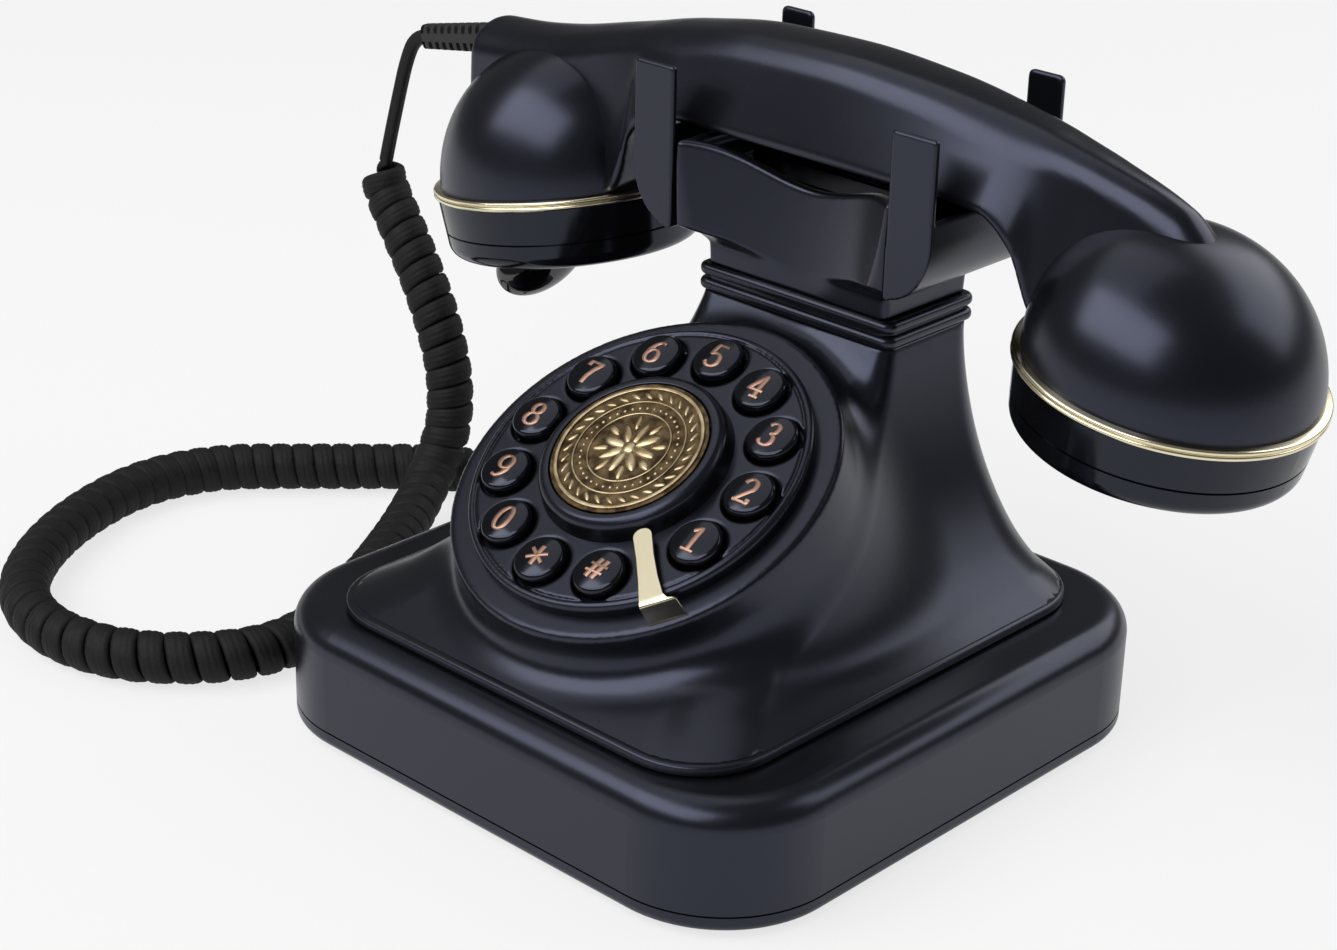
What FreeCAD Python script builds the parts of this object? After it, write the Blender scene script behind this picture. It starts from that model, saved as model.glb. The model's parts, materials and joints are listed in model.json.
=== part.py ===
"""Desk telephone with a push-button dial, a forked cradle and a corded handset.

Millimetres. +Z is up, the dial faces -Y, and the handset lies along X.
The origin is on the table, under the middle of the base.
"""
import FreeCAD, Part
import math
import os

Vector = FreeCAD.Vector
X_AXIS = Vector(1, 0, 0)
Y_AXIS = Vector(0, 1, 0)
Z_AXIS = Vector(0, 0, 1)

# Base
base_width = 144.0
base_depth = 146.0
base_corner = 27.0
foot_height = 1.5
foot_radius = 6.0
foot_inset = 36.0
plate_thickness = 3.5
plate_edge_round = 2.0
seam_height = 0.4
seam_depth = 1.0
plinth_top = 29.0
shoulder_round = 6.0
wall = 2.5
fit_gap = 0.3
screw_radius = 1.5
screw_head_radius = 2.8
screw_head_height = 1.6
post_radius = 4.0
post_inset = 14.0

# Upper housing, as level sections from the ledge up to the neck
step_width = 115.0
step_depth = 128.0
step_y = -1.5
step_corner = 18.0
step_height = 2.0
ledge_lip = 4.0
neck_width = 53.0
neck_depth = 29.5
neck_y = 36.5
neck_corner = 3.0
# Shares from neck to step at each level: rise, half width, front, rear
housing_profile = [
    (0.0, 1.0, 1.0, 1.0),
    (0.08, 0.77, 0.86, 0.78),
    (0.24, 0.53, 0.62, 0.50),
    (0.46, 0.30, 0.36, 0.28),
    (0.65, 0.165, 0.19, 0.14),
    (0.84, 0.065, 0.07, 0.05),
    (1.0, 0.0, 0.0, 0.0),
]

# Dial
dial_y = -25.0
dial_z = 68.3
dial_tilt = 30.2
boss_radius = 43.4
boss_drop = 3.3
boss_depth = 34.0
boss_flare = 9.0
key_plate_radius = 38.1
key_plate_thickness = 6.0
key_plate_round = 1.0
key_circle_radius = 29.7
key_radius = 5.6
key_crown = 1.2
key_proud = 2.2
key_travel = 1.2
key_well_gap = 0.6
key_flange_gap = 0.35
key_flange_width = 1.0
key_flange_thickness = 1.0
first_key_angle = -24.2
key_pitch = 29.03
key_names = ["1", "2", "3", "4", "5", "6", "7", "8", "9", "0", "star", "hash"]
drum_radius = 20.6
drum_height = 4.9
medallion_radius = 17.4
medallion_thickness = 1.6
medallion_proud = 0.4
rocker_rib_inset = 7.5
rocker_gap = 0.35
rocker_room = 1.4
stop_angle = -44.5
stop_width = 4.0
stop_thickness = 0.8
stop_lift = 1.9
stop_inner_radius = 23.4
stop_radius = 41.5
stop_tab_near = 2.4
stop_tab_far = 5.4
mat_thickness = 1.5
board_thickness = 1.6

# Neck collar and head
collar_width = 55.0
collar_depth = 30.5
collar_height = 6.0
collar_groove = 0.7
collar_groove_depth = 1.2
collar_round = 1.2
head_bottom_width = 50.4
head_bottom_depth = 27.5
head_top_depth = 45.8
head_lift = 1.2
head_sag = 6.2
head_wall = 3.0
head_corner = 1.5
head_hollow = 11.4
head_room_depth = 17.0
# Shares of the flare from bottom to top at each rise: width and depth
head_profile = [
    (0.16, 0.03, 0.03),
    (0.25, 0.36, 0.30),
    (0.34, 0.96, 0.95),
]
saddle_steps = 8
fork_y = 38.5

# Cradle fork
fork_inner_x = 30.0
fork_outer_x = 41.5
fork_depth = 46.4
fork_wall = 1.6
fork_height = 18.6
fork_bend_height = 14.0
fork_rim = 121.0
cradle_height = 33.0
front_arm_height = 17.4
rear_arm_height = 21.5
rear_arm_lean = 2.0
rear_arm_tip = 6.0
rear_arm_width = 8.5
saddle_width = 14.0
crossbar_width = 9.0
crossbar_height = 6.0
crossbar_drop = 13.0
stem_radius = 3.0
stem_reach = 8.0
spring_radius = 5.0
spring_wire = 0.9
spring_turns = 5

# Handset
handset_y = 39.5
cup_x = 85.3
grip_rest_gap = 3.9
grip_bottom = fork_rim + grip_rest_gap
ring_drop = 29.4
ring_z = grip_bottom - ring_drop
cup_radius = 32.0
cup_height = 32.5
cup_lean = 5.0
cup_tilt = 9.4
cup_wall = 2.6
ring_radius = 32.5
ring_height = 2.2
ring_round = 0.66
cap_height = 14.5
cap_top_radius = 31.7
cap_bottom_radius = 30.0
cap_round = 3.5
cap_groove_depth = 0.6
cap_groove_height = 0.5
cap_groove_z = 8.0
cap_wall = 2.5
grip_height = 20.1
grip_crown = grip_bottom + grip_height
grip_half_bottom = 17.0
grip_half_ridge = 9.6
grip_ridge_drop = 1.5
grip_flat_margin = 5.0
# Shares along each arm: past the flat, underside, crown, half width
grip_profile = [
    (-0.5, 1.0, 0.98, 1.0),
    (0.0, 1.0, 0.905, 1.0),
    (0.18, 0.84, 0.874, 0.97),
    (0.33, 0.50, 0.842, 0.92),
    (0.54, 0.45, 0.79, 0.85),
    (1.0, 0.45, 0.70, 0.76),
]
grip_tail = (0.45, 0.66, 0.62)
tail_x = -110.0
spout_length = 27.0
spout_width = 14.0
spout_height = 9.2
spout_ahead = 11.2
spout_lean = 4.5
sound_hole_radius = 1.5
sound_hole_count = 6

# Cord
lead_diameter = 2.8
coil_diameter = 12.0
bend_reach = 0.45
boot_radius = 3.0
boot_length = 27.0
boot_slope = 0.19
boot_rib = 0.5
boot_rib_count = 8
boot_rib_share = 0.6
handset_lead_points = [
    (-135.3, 39.5, 119.5),
    (-139.7, 39.5, 118.66),
    (-143.0, 39.2, 112.0),
    (-145.6, 38.5, 101.5),
    (-148.2, 37.8, 90.5),
    (-150.5, 37.0, 79.5),
]
coil_points = [
    (-150.5, 37.0, 79.5),
    (-141.8, 36.2, 69.0),
    (-133.0, 35.3, 57.8),
    (-125.8, 34.3, 46.3),
    (-121.3, 33.4, 34.5),
    (-119.6, 31.3, 22.0),
    (-119.3, 24.0, 10.5),
    (-111.5, 10.0, 6.2),
    (-99.8, -9.0, 6.2),
    (-90.0, -27.0, 6.2),
    (-82.3, -43.5, 6.2),
    (-81.0, -59.0, 6.2),
    (-89.5, -74.0, 6.2),
    (-104.0, -85.5, 6.2),
    (-123.0, -89.5, 6.2),
    (-143.0, -83.5, 6.2),
    (-158.5, -68.0, 6.2),
    (-170.0, -47.0, 6.2),
    (-175.5, -24.0, 6.2),
    (-170.0, -4.0, 6.2),
    (-156.5, 10.5, 6.2),
    (-144.5, 23.0, 6.2),
    (-131.5, 36.5, 6.2),
    (-116.0, 46.0, 6.2),
    (-103.0, 48.0, 7.0),
]
base_lead_points = [
    (-103.0, 48.0, 7.0),
    (-96.0, 47.5, 8.0),
    (-90.0, 45.0, 9.4),
    (-85.0, 41.5, 10.6),
    (-79.0, 40.0, 11.0),
]
jack_y = 40.0
jack_z = 11.0
jack_inset = 1.0
plug_length = 7.0
plug_width = 8.0
plug_height = 6.0
jack_length = 16.0
jack_width = 13.0
jack_height = 11.0
line_jack_x = 30.0
line_jack_z = 13.0
line_socket_width = 9.8
line_socket_height = 6.8
line_socket_depth = 12.0

# Internal pieces
main_board_width = 90.0
main_board_depth = 60.0
main_board_y = 10.0
standoff_height = 5.0
standoff_radius = 3.0
ballast_width = 80.0
ballast_depth = 28.0
ballast_thickness = 5.0
ballast_inset = 14.0
ringer_radius = 18.0
ringer_height = 9.0
switch_width = 20.0
switch_depth = 8.0
switch_height = 10.0
receiver_radius = 20.0
receiver_height = 8.0
microphone_radius = 5.0
microphone_height = 5.0
handset_weight_length = 50.0
handset_weight_width = 10.0
handset_weight_height = 5.0
wire_hole_radius = 2.0
wire_hole_drop = 10.0

# Heights that follow from the sizes above
plate_top = foot_height + plate_thickness
plinth_bottom = plate_top + seam_height
neck_top = fork_rim - cradle_height
collar_top = neck_top + collar_height
stem_bottom = neck_top - stem_reach
head_top = fork_rim + head_lift
fork_bottom = fork_rim - fork_height
front_arm_top = fork_rim + front_arm_height
rear_arm_top = fork_rim + rear_arm_height
crossbar_bottom = fork_rim - crossbar_drop
fork_front = fork_y - fork_depth / 2
fork_rear = fork_y + fork_depth / 2
head_top_width = 2 * (fork_inner_x - fit_gap)
ballast_y = ballast_inset + (ballast_depth - base_depth) / 2


def level_outline(width, depth, corner, y, z):
    """A level rectangle with round corners, centred on x = 0."""
    half_w = width / 2
    half_d = depth / 2
    edges = []
    corners = [(1, -1, -90), (1, 1, 0), (-1, 1, 90), (-1, -1, 180)]
    arcs = []
    for sx, sy, start in corners:
        centre = Vector(sx * (half_w - corner), y + sy * (half_d - corner), z)
        points = []
        for angle in (start, start + 45, start + 90):
            turn = math.radians(angle)
            points.append(centre + Vector(corner * math.cos(turn), corner * math.sin(turn), 0))
        arcs.append(points)
    for index, points in enumerate(arcs):
        edges.append(Part.Arc(*points).toShape())
        following = arcs[(index + 1) % len(arcs)]
        edges.append(Part.LineSegment(points[2], following[0]).toShape())
    return Part.Wire(edges)


def level_block(width, depth, corner, y, low, high):
    """An upright block with round corners."""
    face = Part.Face(level_outline(width, depth, corner, y, low))
    return face.extrude(Vector(0, 0, high - low))


def box(x0, x1, y0, y1, z0, z1):
    """A plain box between two corners."""
    return Part.makeBox(x1 - x0, y1 - y0, z1 - z0, Vector(x0, y0, z0))


def upright(radius, low, high, x=0.0, y=0.0):
    """A cylinder standing along Z."""
    return Part.makeCylinder(radius, high - low, Vector(x, y, low))


def turned(points):
    """A solid of revolution about Z from (radius, z) points."""
    corners = [Vector(r, 0, z) for r, z in points]
    face = Part.Face(Part.makePolygon(corners + corners[:1]))
    return face.revolve(Vector(0, 0, 0), Z_AXIS, 360)


def rounded(shape, radius, picks):
    """Round the edges that a test picks."""
    edges = [edge for edge in shape.Edges if picks(edge)]
    return shape.makeFillet(radius, edges)


def level_edge(edge):
    """A test for edges that lie level."""
    return edge.BoundBox.ZLength < 1e-6


def level_edge_at(z):
    """A test for the edges that lie level at one height."""
    def picks(edge):
        bounds = edge.BoundBox
        return abs(bounds.ZMin - z) < 1e-6 and abs(bounds.ZMax - z) < 1e-6
    return picks


def joined(shapes):
    """One solid made of several that touch or overlap."""
    result = shapes[0].fuse(shapes[1:])
    return result.removeSplitter()


def on_dial(shape):
    """Put a piece made about Z at the dial's place and tilt."""
    placed = shape.copy()
    turn = FreeCAD.Rotation(X_AXIS, dial_tilt)
    place = FreeCAD.Placement(Vector(0, dial_y, dial_z), turn)
    placed.Placement = place.multiply(shape.Placement)
    return placed


def on_cup(shape, side):
    """Put a piece made about Z at one end of the handset."""
    placed = shape.copy()
    turn = FreeCAD.Rotation(Y_AXIS, side * cup_tilt)
    place = FreeCAD.Placement(Vector(side * cup_x, handset_y, ring_z), turn)
    placed.Placement = place.multiply(shape.Placement)
    return placed


def dial_point(radius, angle):
    """A place on the dial, before it is tilted."""
    turn = math.radians(angle)
    return radius * math.cos(turn), radius * math.sin(turn)


def corner_places(inset):
    """Four places inset from the base's sides."""
    x = base_width / 2 - inset
    y = base_depth / 2 - inset
    return [(x, y), (-x, y), (-x, -y), (x, -y)]


def housing_levels():
    """The upper housing's sections: height, half width, front and rear."""
    front = step_y - step_depth / 2
    rear = step_y + step_depth / 2
    neck_front = neck_y - neck_depth / 2
    neck_rear = neck_y + neck_depth / 2
    low = plinth_top + step_height
    levels = []
    for rise, wide, ahead, behind in housing_profile:
        z = low + rise * (neck_top - low)
        half = neck_width / 2 + wide * (step_width - neck_width) / 2
        y0 = neck_front + ahead * (front - neck_front)
        y1 = neck_rear + behind * (rear - neck_rear)
        corner = neck_corner + wide * (step_corner - neck_corner)
        levels.append((z, half, y0, y1, corner))
    return levels


def housing_form(inset):
    """The housing's sweep, or the space inside it when inset by the wall."""
    wires = []
    for z, half, y0, y1, corner in housing_levels():
        width = 2 * (half - inset)
        depth = y1 - y0 - 2 * inset
        round_corner = max(corner - inset, 1.0)
        wires.append(level_outline(width, depth, round_corner, (y0 + y1) / 2, z))
    return Part.makeLoft(wires, True, False)


def make_bottom_plate():
    plate = level_block(base_width, base_depth, base_corner, 0, foot_height, plate_top)
    plate = rounded(plate, plate_edge_round, level_edge_at(foot_height))
    tongue_width = base_width - 2 * seam_depth
    tongue_depth = base_depth - 2 * seam_depth
    tongue = level_block(tongue_width, tongue_depth, base_corner - seam_depth, 0, plate_top, plinth_bottom)
    plate = joined([plate, tongue] + standoffs())
    for x, y in corner_places(post_inset):
        plate = plate.cut(upright(screw_radius + fit_gap, 0, plinth_bottom, x, y))
        plate = plate.cut(upright(screw_head_radius + fit_gap, 0, foot_height + screw_head_height, x, y))
    return plate


def standoff_places():
    x = main_board_width / 2 - 2 * standoff_radius
    y = main_board_depth / 2 - 2 * standoff_radius
    return [(sx * x, main_board_y + sy * y) for sx in (-1, 1) for sy in (-1, 1)]


def standoffs():
    top = plinth_bottom + standoff_height
    return [upright(standoff_radius, plate_top, top, x, y) for x, y in standoff_places()]


def make_feet():
    feet = []
    for x, y in corner_places(foot_inset):
        feet.append(upright(foot_radius, 0, foot_height, x, y))
    return Part.makeCompound(feet)


def make_base_screws():
    screws = []
    for x, y in corner_places(post_inset):
        head = upright(screw_head_radius, foot_height, foot_height + screw_head_height, x, y)
        shank = upright(screw_radius, foot_height, plinth_bottom + standoff_height, x, y)
        screws.append(joined([head, shank]))
    return Part.makeCompound(screws)


def make_plinth():
    body = level_block(base_width, base_depth, base_corner, 0, plinth_bottom, plinth_top)
    body = rounded(body, shoulder_round, level_edge_at(plinth_top))
    inside_width = base_width - 2 * wall
    inside_depth = base_depth - 2 * wall
    inside = level_block(inside_width, inside_depth, base_corner - wall, 0, plinth_bottom, plinth_top - wall)
    inside = rounded(inside, shoulder_round - wall, level_edge_at(plinth_top - wall))
    body = body.cut(inside)
    opening_corner = step_corner - ledge_lip
    opening_width = step_width - 2 * ledge_lip
    opening_depth = step_depth - 2 * ledge_lip
    body = body.cut(level_block(opening_width, opening_depth, opening_corner, step_y, plinth_bottom, plinth_top))
    posts = []
    for x, y in corner_places(post_inset):
        post = upright(post_radius, plinth_bottom, plinth_top - wall, x, y)
        posts.append(post)
    body = joined([body] + posts)
    for x, y in corner_places(post_inset):
        body = body.cut(upright(screw_radius, plinth_bottom, plinth_bottom + standoff_height, x, y))
    left = -base_width / 2
    half = jack_width / 2
    body = body.cut(box(left, left + 2 * wall, jack_y - half, jack_y + half,
                        plinth_bottom, jack_z + jack_height / 2))
    rear = base_depth / 2
    return body.cut(box(line_jack_x - half, line_jack_x + half, rear - 2 * wall, rear,
                        plinth_bottom, line_jack_z + jack_height / 2))


def make_upper_housing():
    skirt = level_block(step_width, step_depth, step_corner, step_y, plinth_top, plinth_top + step_height)
    top = -boss_drop
    bottom = top - boss_depth
    boss = turned([(0, top), (boss_radius, top), (boss_radius, top - boss_depth / 2),
                   (boss_radius + boss_flare, bottom), (0, bottom)])
    floor = box(-base_width, base_width, -base_depth, base_depth, -base_depth, plinth_top + step_height)
    body = joined([skirt, housing_form(0.0), on_dial(boss).cut(floor)])
    hollow_radius = boss_radius - 2 * wall
    hollow = turned([(0, top - key_plate_thickness), (hollow_radius, top - key_plate_thickness),
                     (hollow_radius, bottom), (0, bottom)])
    ceiling = box(-base_width, base_width, -base_depth, base_depth, neck_top - wall, neck_top + base_depth)
    body = body.cut(housing_form(wall).cut(ceiling))
    body = body.cut(on_dial(hollow).cut(floor))
    inner_width = step_width - 2 * wall
    inner_depth = step_depth - 2 * wall
    body = body.cut(level_block(inner_width, inner_depth, step_corner - wall, step_y,
                                plinth_top, plinth_top + step_height))
    seat_bottom = -key_plate_thickness
    body = body.cut(on_dial(upright(key_plate_radius, seat_bottom, 0)))
    body = body.cut(on_dial(upright(key_plate_radius - 2 * wall, bottom, 0)))
    return body.cut(upright(stem_radius + fit_gap, neck_top - 2 * wall, neck_top + wall, 0, fork_y))


def key_places():
    places = []
    for index, name in enumerate(key_names):
        x, y = dial_point(key_circle_radius, first_key_angle + index * key_pitch)
        places.append((name, x, y))
    return places


def make_key_plate():
    plate = upright(key_plate_radius, -key_plate_thickness, 0)
    plate = rounded(plate, key_plate_round, level_edge_at(0))
    drum = upright(drum_radius, 0, drum_height)
    drum = rounded(drum, key_plate_round, level_edge_at(drum_height))
    plate = joined([plate, drum])
    pocket_bottom = drum_height - medallion_thickness - rocker_room
    plate = plate.cut(upright(medallion_radius + rocker_gap, pocket_bottom, drum_height))
    flange_radius = key_radius + key_flange_width + key_flange_gap
    flange_room = key_flange_thickness + key_travel + 2 * key_flange_gap
    for name, x, y in key_places():
        plate = plate.cut(upright(key_radius + key_well_gap, -key_plate_thickness, 0, x, y))
        room = upright(flange_radius, -key_plate_thickness, -key_plate_thickness + flange_room, x, y)
        plate = plate.cut(room)
    return on_dial(plate)


def make_key(x, y):
    flange_low = -key_plate_thickness + key_travel + key_flange_gap
    flange_high = flange_low + key_flange_thickness
    flange = upright(key_radius + key_flange_width, flange_low, flange_high)
    rim = key_proud - key_crown
    post = upright(key_radius, flange_low, rim)
    ball = (key_radius ** 2 + key_crown ** 2) / (2 * key_crown)
    crown = Part.makeSphere(ball, Vector(0, 0, key_proud - ball))
    crown = crown.common(upright(key_radius, rim, key_proud + 1))
    key = joined([flange, post, crown])
    key.translate(Vector(x, y, 0))
    return on_dial(key)


def make_medallion():
    top = drum_height + medallion_proud
    disc = upright(medallion_radius, top - medallion_thickness, top)
    disc = rounded(disc, medallion_proud, level_edge_at(top))
    half = medallion_radius - rocker_rib_inset
    rib = box(-half, half, -rocker_gap, rocker_gap,
              drum_height - medallion_thickness - rocker_room + fit_gap, top - medallion_thickness)
    return on_dial(joined([disc, rib]))


def make_finger_stop():
    top = stop_lift + stop_thickness
    strip = box(stop_inner_radius, stop_radius, -stop_width / 2, stop_width / 2, stop_lift, top)
    tab = box(stop_radius, stop_radius + stop_thickness, -stop_tab_near, stop_tab_far, -boss_drop, top)
    tip = upright(stop_width / 2, stop_lift, top, stop_inner_radius, 0)
    piece = joined([strip, tab, tip])
    piece.rotate(Vector(0, 0, 0), Z_AXIS, stop_angle)
    return on_dial(piece)


def make_dome_mat():
    top = -key_plate_thickness
    ring = upright(key_plate_radius - 2 * wall - fit_gap, top - mat_thickness, top)
    return on_dial(ring)


def make_keypad_board():
    top = -key_plate_thickness - mat_thickness
    return on_dial(upright(key_plate_radius - 2 * wall - fit_gap, top - board_thickness, top))


def make_collar():
    half = (collar_height - collar_groove) / 2
    low = level_block(collar_width, collar_depth, neck_corner, neck_y, neck_top, neck_top + half)
    low = rounded(low, collar_round, level_edge)
    high = level_block(collar_width, collar_depth, neck_corner, neck_y, collar_top - half, collar_top)
    high = rounded(high, collar_round, level_edge)
    waist_width = collar_width - 2 * collar_groove_depth
    waist_depth = collar_depth - 2 * collar_groove_depth
    waist = level_block(waist_width, waist_depth, neck_corner, neck_y, neck_top, collar_top)
    ring = joined([low, high, waist])
    return ring.cut(upright(stem_radius + fit_gap, neck_top, collar_top, 0, fork_y))


def head_sections():
    """The head's level outlines: straight at the bottom, then flaring out."""
    shares = [(0.0, 0.0, 0.0)] + head_profile + [(1.0, 1.0, 1.0)]
    sections = []
    for rise, wide, deep in shares:
        width = head_bottom_width + wide * (head_top_width - head_bottom_width)
        depth = head_bottom_depth + deep * (head_top_depth - head_bottom_depth)
        corner = neck_corner + wide * (head_corner - neck_corner)
        y = neck_y + deep * (fork_y - neck_y)
        z = collar_top + rise * (head_top - collar_top)
        sections.append(level_outline(width, depth, corner, y, z))
    return sections


def head_scoop(facing):
    """A leaning cylinder that hollows the head's front (-1) or rear (1)."""
    chord = head_top_width / 2
    radius = (chord ** 2 + head_hollow ** 2) / (2 * head_hollow)
    low = neck_y + facing * head_bottom_depth / 2
    high = fork_y + facing * (head_top_depth / 2 - head_hollow)
    start = Vector(0, low + facing * radius, collar_top)
    way = Vector(0, high - low, head_top - collar_top)
    return Part.makeCylinder(radius, way.Length + head_sag, start, way)


def head_saddle():
    """The hollow in the head's top: a wave that is flat at both ends."""
    half = head_top_width / 2
    front = fork_y - head_top_depth
    points = []
    for step in range(saddle_steps + 1):
        x = half * (2 * step / saddle_steps - 1)
        dip = head_sag * (1 + math.cos(math.pi * x / half)) / 2
        points.append(Vector(x, front, head_top - dip))
    wave = Part.BSplineCurve()
    wave.interpolate(points)
    over = head_top + head_sag
    corners = [points[-1], Vector(half, front, over), Vector(-half, front, over), points[0]]
    edges = [wave.toShape()]
    for first, second in zip(corners, corners[1:]):
        edges.append(Part.LineSegment(first, second).toShape())
    return Part.Face(Part.Wire(edges)).extrude(Vector(0, 2 * head_top_depth, 0))


def make_head_block():
    block = Part.makeLoft(head_sections(), True, True)
    block = block.cut(head_saddle())
    for facing in (-1, 1):
        block = block.cut(head_scoop(facing))
    half = head_top_width / 2
    floor = collar_top + head_wall
    room_x = head_bottom_width / 2 - head_wall
    room_y = head_room_depth / 2
    block = block.cut(box(-room_x, room_x, fork_y - room_y, fork_y + room_y, floor, head_top))
    slot_half = crossbar_width / 2 + fit_gap
    slot_low = crossbar_bottom - 2 * fit_gap
    block = block.cut(box(-half, half, fork_y - slot_half, fork_y + slot_half, slot_low, head_top))
    return block.cut(upright(stem_radius + fit_gap, collar_top, floor, 0, fork_y))


def fork_profile(inset, top):
    """The bracket's end view: an upright side and a quarter-round bottom."""
    outer = fork_outer_x - inset
    bottom = fork_bottom + inset
    bend = fork_outer_x - fork_inner_x - inset
    tall = fork_bend_height - inset
    centre = Vector(outer - bend, 0, bottom + tall)
    share = math.sqrt(0.5)
    start = Vector(outer, 0, centre.z)
    middle = centre + Vector(bend * share, 0, -tall * share)
    end = Vector(centre.x, 0, bottom)
    edges = [Part.Arc(start, middle, end).toShape()]
    corners = [end, Vector(fork_inner_x, 0, bottom), Vector(fork_inner_x, 0, top), Vector(outer, 0, top), start]
    for first, second in zip(corners, corners[1:]):
        if first.distanceToPoint(second) > 1e-6:
            edges.append(Part.LineSegment(first, second).toShape())
    return Part.Face(Part.Wire(edges))


def make_fork(side):
    shell = fork_profile(0.0, front_arm_top)
    shell.translate(Vector(0, fork_front, 0))
    shell = shell.extrude(Vector(0, fork_depth, 0))
    bowl = fork_profile(fork_wall, front_arm_top)
    bowl.translate(Vector(0, fork_front + fork_wall, 0))
    shell = shell.cut(bowl.extrude(Vector(0, fork_depth - 2 * fork_wall, 0)))
    notch = box(fork_inner_x, fork_outer_x, fork_front + fork_wall, fork_rear, fork_rim, front_arm_top)
    shell = shell.cut(notch)
    inner = box(fork_inner_x, fork_inner_x + fork_wall, fork_front, fork_rear,
                fork_bottom, crossbar_bottom + crossbar_height)
    saddle = box(fork_inner_x, fork_inner_x + fork_wall, fork_y - saddle_width / 2, fork_y + saddle_width / 2,
                 fork_bottom, grip_bottom - fit_gap)
    pieces = [shell, inner, saddle, rear_arm()]
    bracket = joined(pieces)
    if side < 0:
        bracket = bracket.mirror(Vector(0, 0, 0), X_AXIS)
    return bracket


def rear_arm():
    """The rear arm, upright and then leaning back at its tip."""
    bend_z = rear_arm_top - rear_arm_tip
    front = fork_rear - fork_wall
    points = [(front, fork_rim), (fork_rear, fork_rim), (fork_rear, bend_z),
              (fork_rear + rear_arm_lean, rear_arm_top), (front + rear_arm_lean, rear_arm_top), (front, bend_z)]
    corners = [Vector(fork_inner_x, y, z) for y, z in points]
    face = Part.Face(Part.makePolygon(corners + corners[:1]))
    return face.extrude(Vector(rear_arm_width, 0, 0))


def make_crossbar():
    bar = box(-fork_inner_x, fork_inner_x, fork_y - crossbar_width / 2, fork_y + crossbar_width / 2,
              crossbar_bottom, crossbar_bottom + crossbar_height)
    stem = upright(stem_radius, stem_bottom, crossbar_bottom, 0, fork_y)
    return joined([bar, stem])


def make_hook_spring():
    low = collar_top + head_wall + spring_wire
    high = crossbar_bottom - spring_wire
    helix = Part.makeHelix((high - low) / spring_turns, high - low, spring_radius)
    section = Part.Wire(Part.makeCircle(spring_wire / 2, Vector(spring_radius, 0, 0), Y_AXIS))
    spring = Part.Wire(helix).makePipeShell([section], True, True)
    spring.translate(Vector(0, fork_y, low))
    return spring


def make_switch_bracket():
    top = neck_top - wall
    half_w = switch_width / 2 + 2 * wall
    half_d = switch_depth / 2
    low = stem_bottom - switch_height - 2 * wall
    frame = box(-half_w, half_w, fork_y - half_d, fork_y + half_d, low, top)
    window = box(-half_w + wall, half_w - wall, fork_y - half_d, fork_y + half_d, low + wall, top - wall)
    frame = frame.cut(window)
    return frame.cut(upright(stem_radius + fit_gap, low + wall, top, 0, fork_y))


def make_hook_switch():
    low = stem_bottom - switch_height - wall
    half_w = switch_width / 2
    half_d = switch_depth / 2
    body = box(-half_w, half_w, fork_y - half_d, fork_y + half_d, low, low + switch_height)
    plunger = upright(stem_radius / 2, low + switch_height, stem_bottom - fit_gap, 0, fork_y)
    return joined([body, plunger])


def make_main_board():
    low = plinth_bottom + standoff_height
    half_w = main_board_width / 2
    half_d = main_board_depth / 2
    board = box(-half_w, half_w, main_board_y - half_d, main_board_y + half_d, low, low + board_thickness)
    chip = box(-half_w / 3, half_w / 3, main_board_y - half_d / 3, main_board_y + half_d / 3,
               low + board_thickness, low + 3 * board_thickness)
    return joined([board, chip])


def make_ballast():
    half_w = ballast_width / 2
    half_d = ballast_depth / 2
    return box(-half_w, half_w, ballast_y - half_d, ballast_y + half_d,
               plinth_bottom, plinth_bottom + ballast_thickness)


def make_ringer():
    low = plinth_bottom + ballast_thickness
    can = upright(ringer_radius, low, low + ringer_height, 0, ballast_y)
    can = rounded(can, key_plate_round, level_edge_at(low + ringer_height))
    return can.cut(upright(ringer_radius / 8, low + ringer_height / 2, low + ringer_height, 0, ballast_y))


def make_line_jack():
    rear = base_depth / 2
    half_w = jack_width / 2 - fit_gap
    half_h = jack_height / 2 - fit_gap
    block = box(line_jack_x - half_w, line_jack_x + half_w, rear - jack_length, rear - jack_inset,
                plinth_bottom, line_jack_z + half_h)
    half_w = line_socket_width / 2
    half_h = line_socket_height / 2
    mouth = rear - jack_inset
    socket = box(line_jack_x - half_w, line_jack_x + half_w, mouth - line_socket_depth, mouth,
                 line_jack_z - half_h, line_jack_z + half_h)
    return block.cut(socket)


def make_handset_jack():
    left = -base_width / 2 + jack_inset
    half_w = jack_width / 2 - fit_gap
    block = box(left, left + jack_length, jack_y - half_w, jack_y + half_w,
                plinth_bottom, jack_z + jack_height / 2 - fit_gap)
    half_w = plug_width / 2
    half_h = plug_height / 2
    socket = box(left, left + plug_length, jack_y - half_w, jack_y + half_w, jack_z - half_h, jack_z + half_h)
    return block.cut(socket)


def make_cord_plug():
    left = -base_width / 2 + jack_inset
    tip = base_lead_points[-1][0]
    half_w = plug_width / 2
    half_h = plug_height / 2
    return box(tip, left + plug_length, jack_y - half_w, jack_y + half_w, jack_z - half_h, jack_z + half_h)


def cup_form(inset, side):
    """A domed cup on the ring's top face, leaning towards the grip."""
    low = ring_height / 2
    radius = cup_radius - inset
    height = cup_height - inset
    dome = Part.makeSphere(1.0, Vector(0, 0, 0))
    matrix = FreeCAD.Matrix()
    matrix.scale(radius, radius, height)
    matrix.A13 = -side * cup_lean / cup_height * height
    dome = dome.transformGeometry(matrix)
    dome.translate(Vector(0, 0, low))
    return dome.common(upright(radius + cup_lean, low, low + height + 1))


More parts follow.
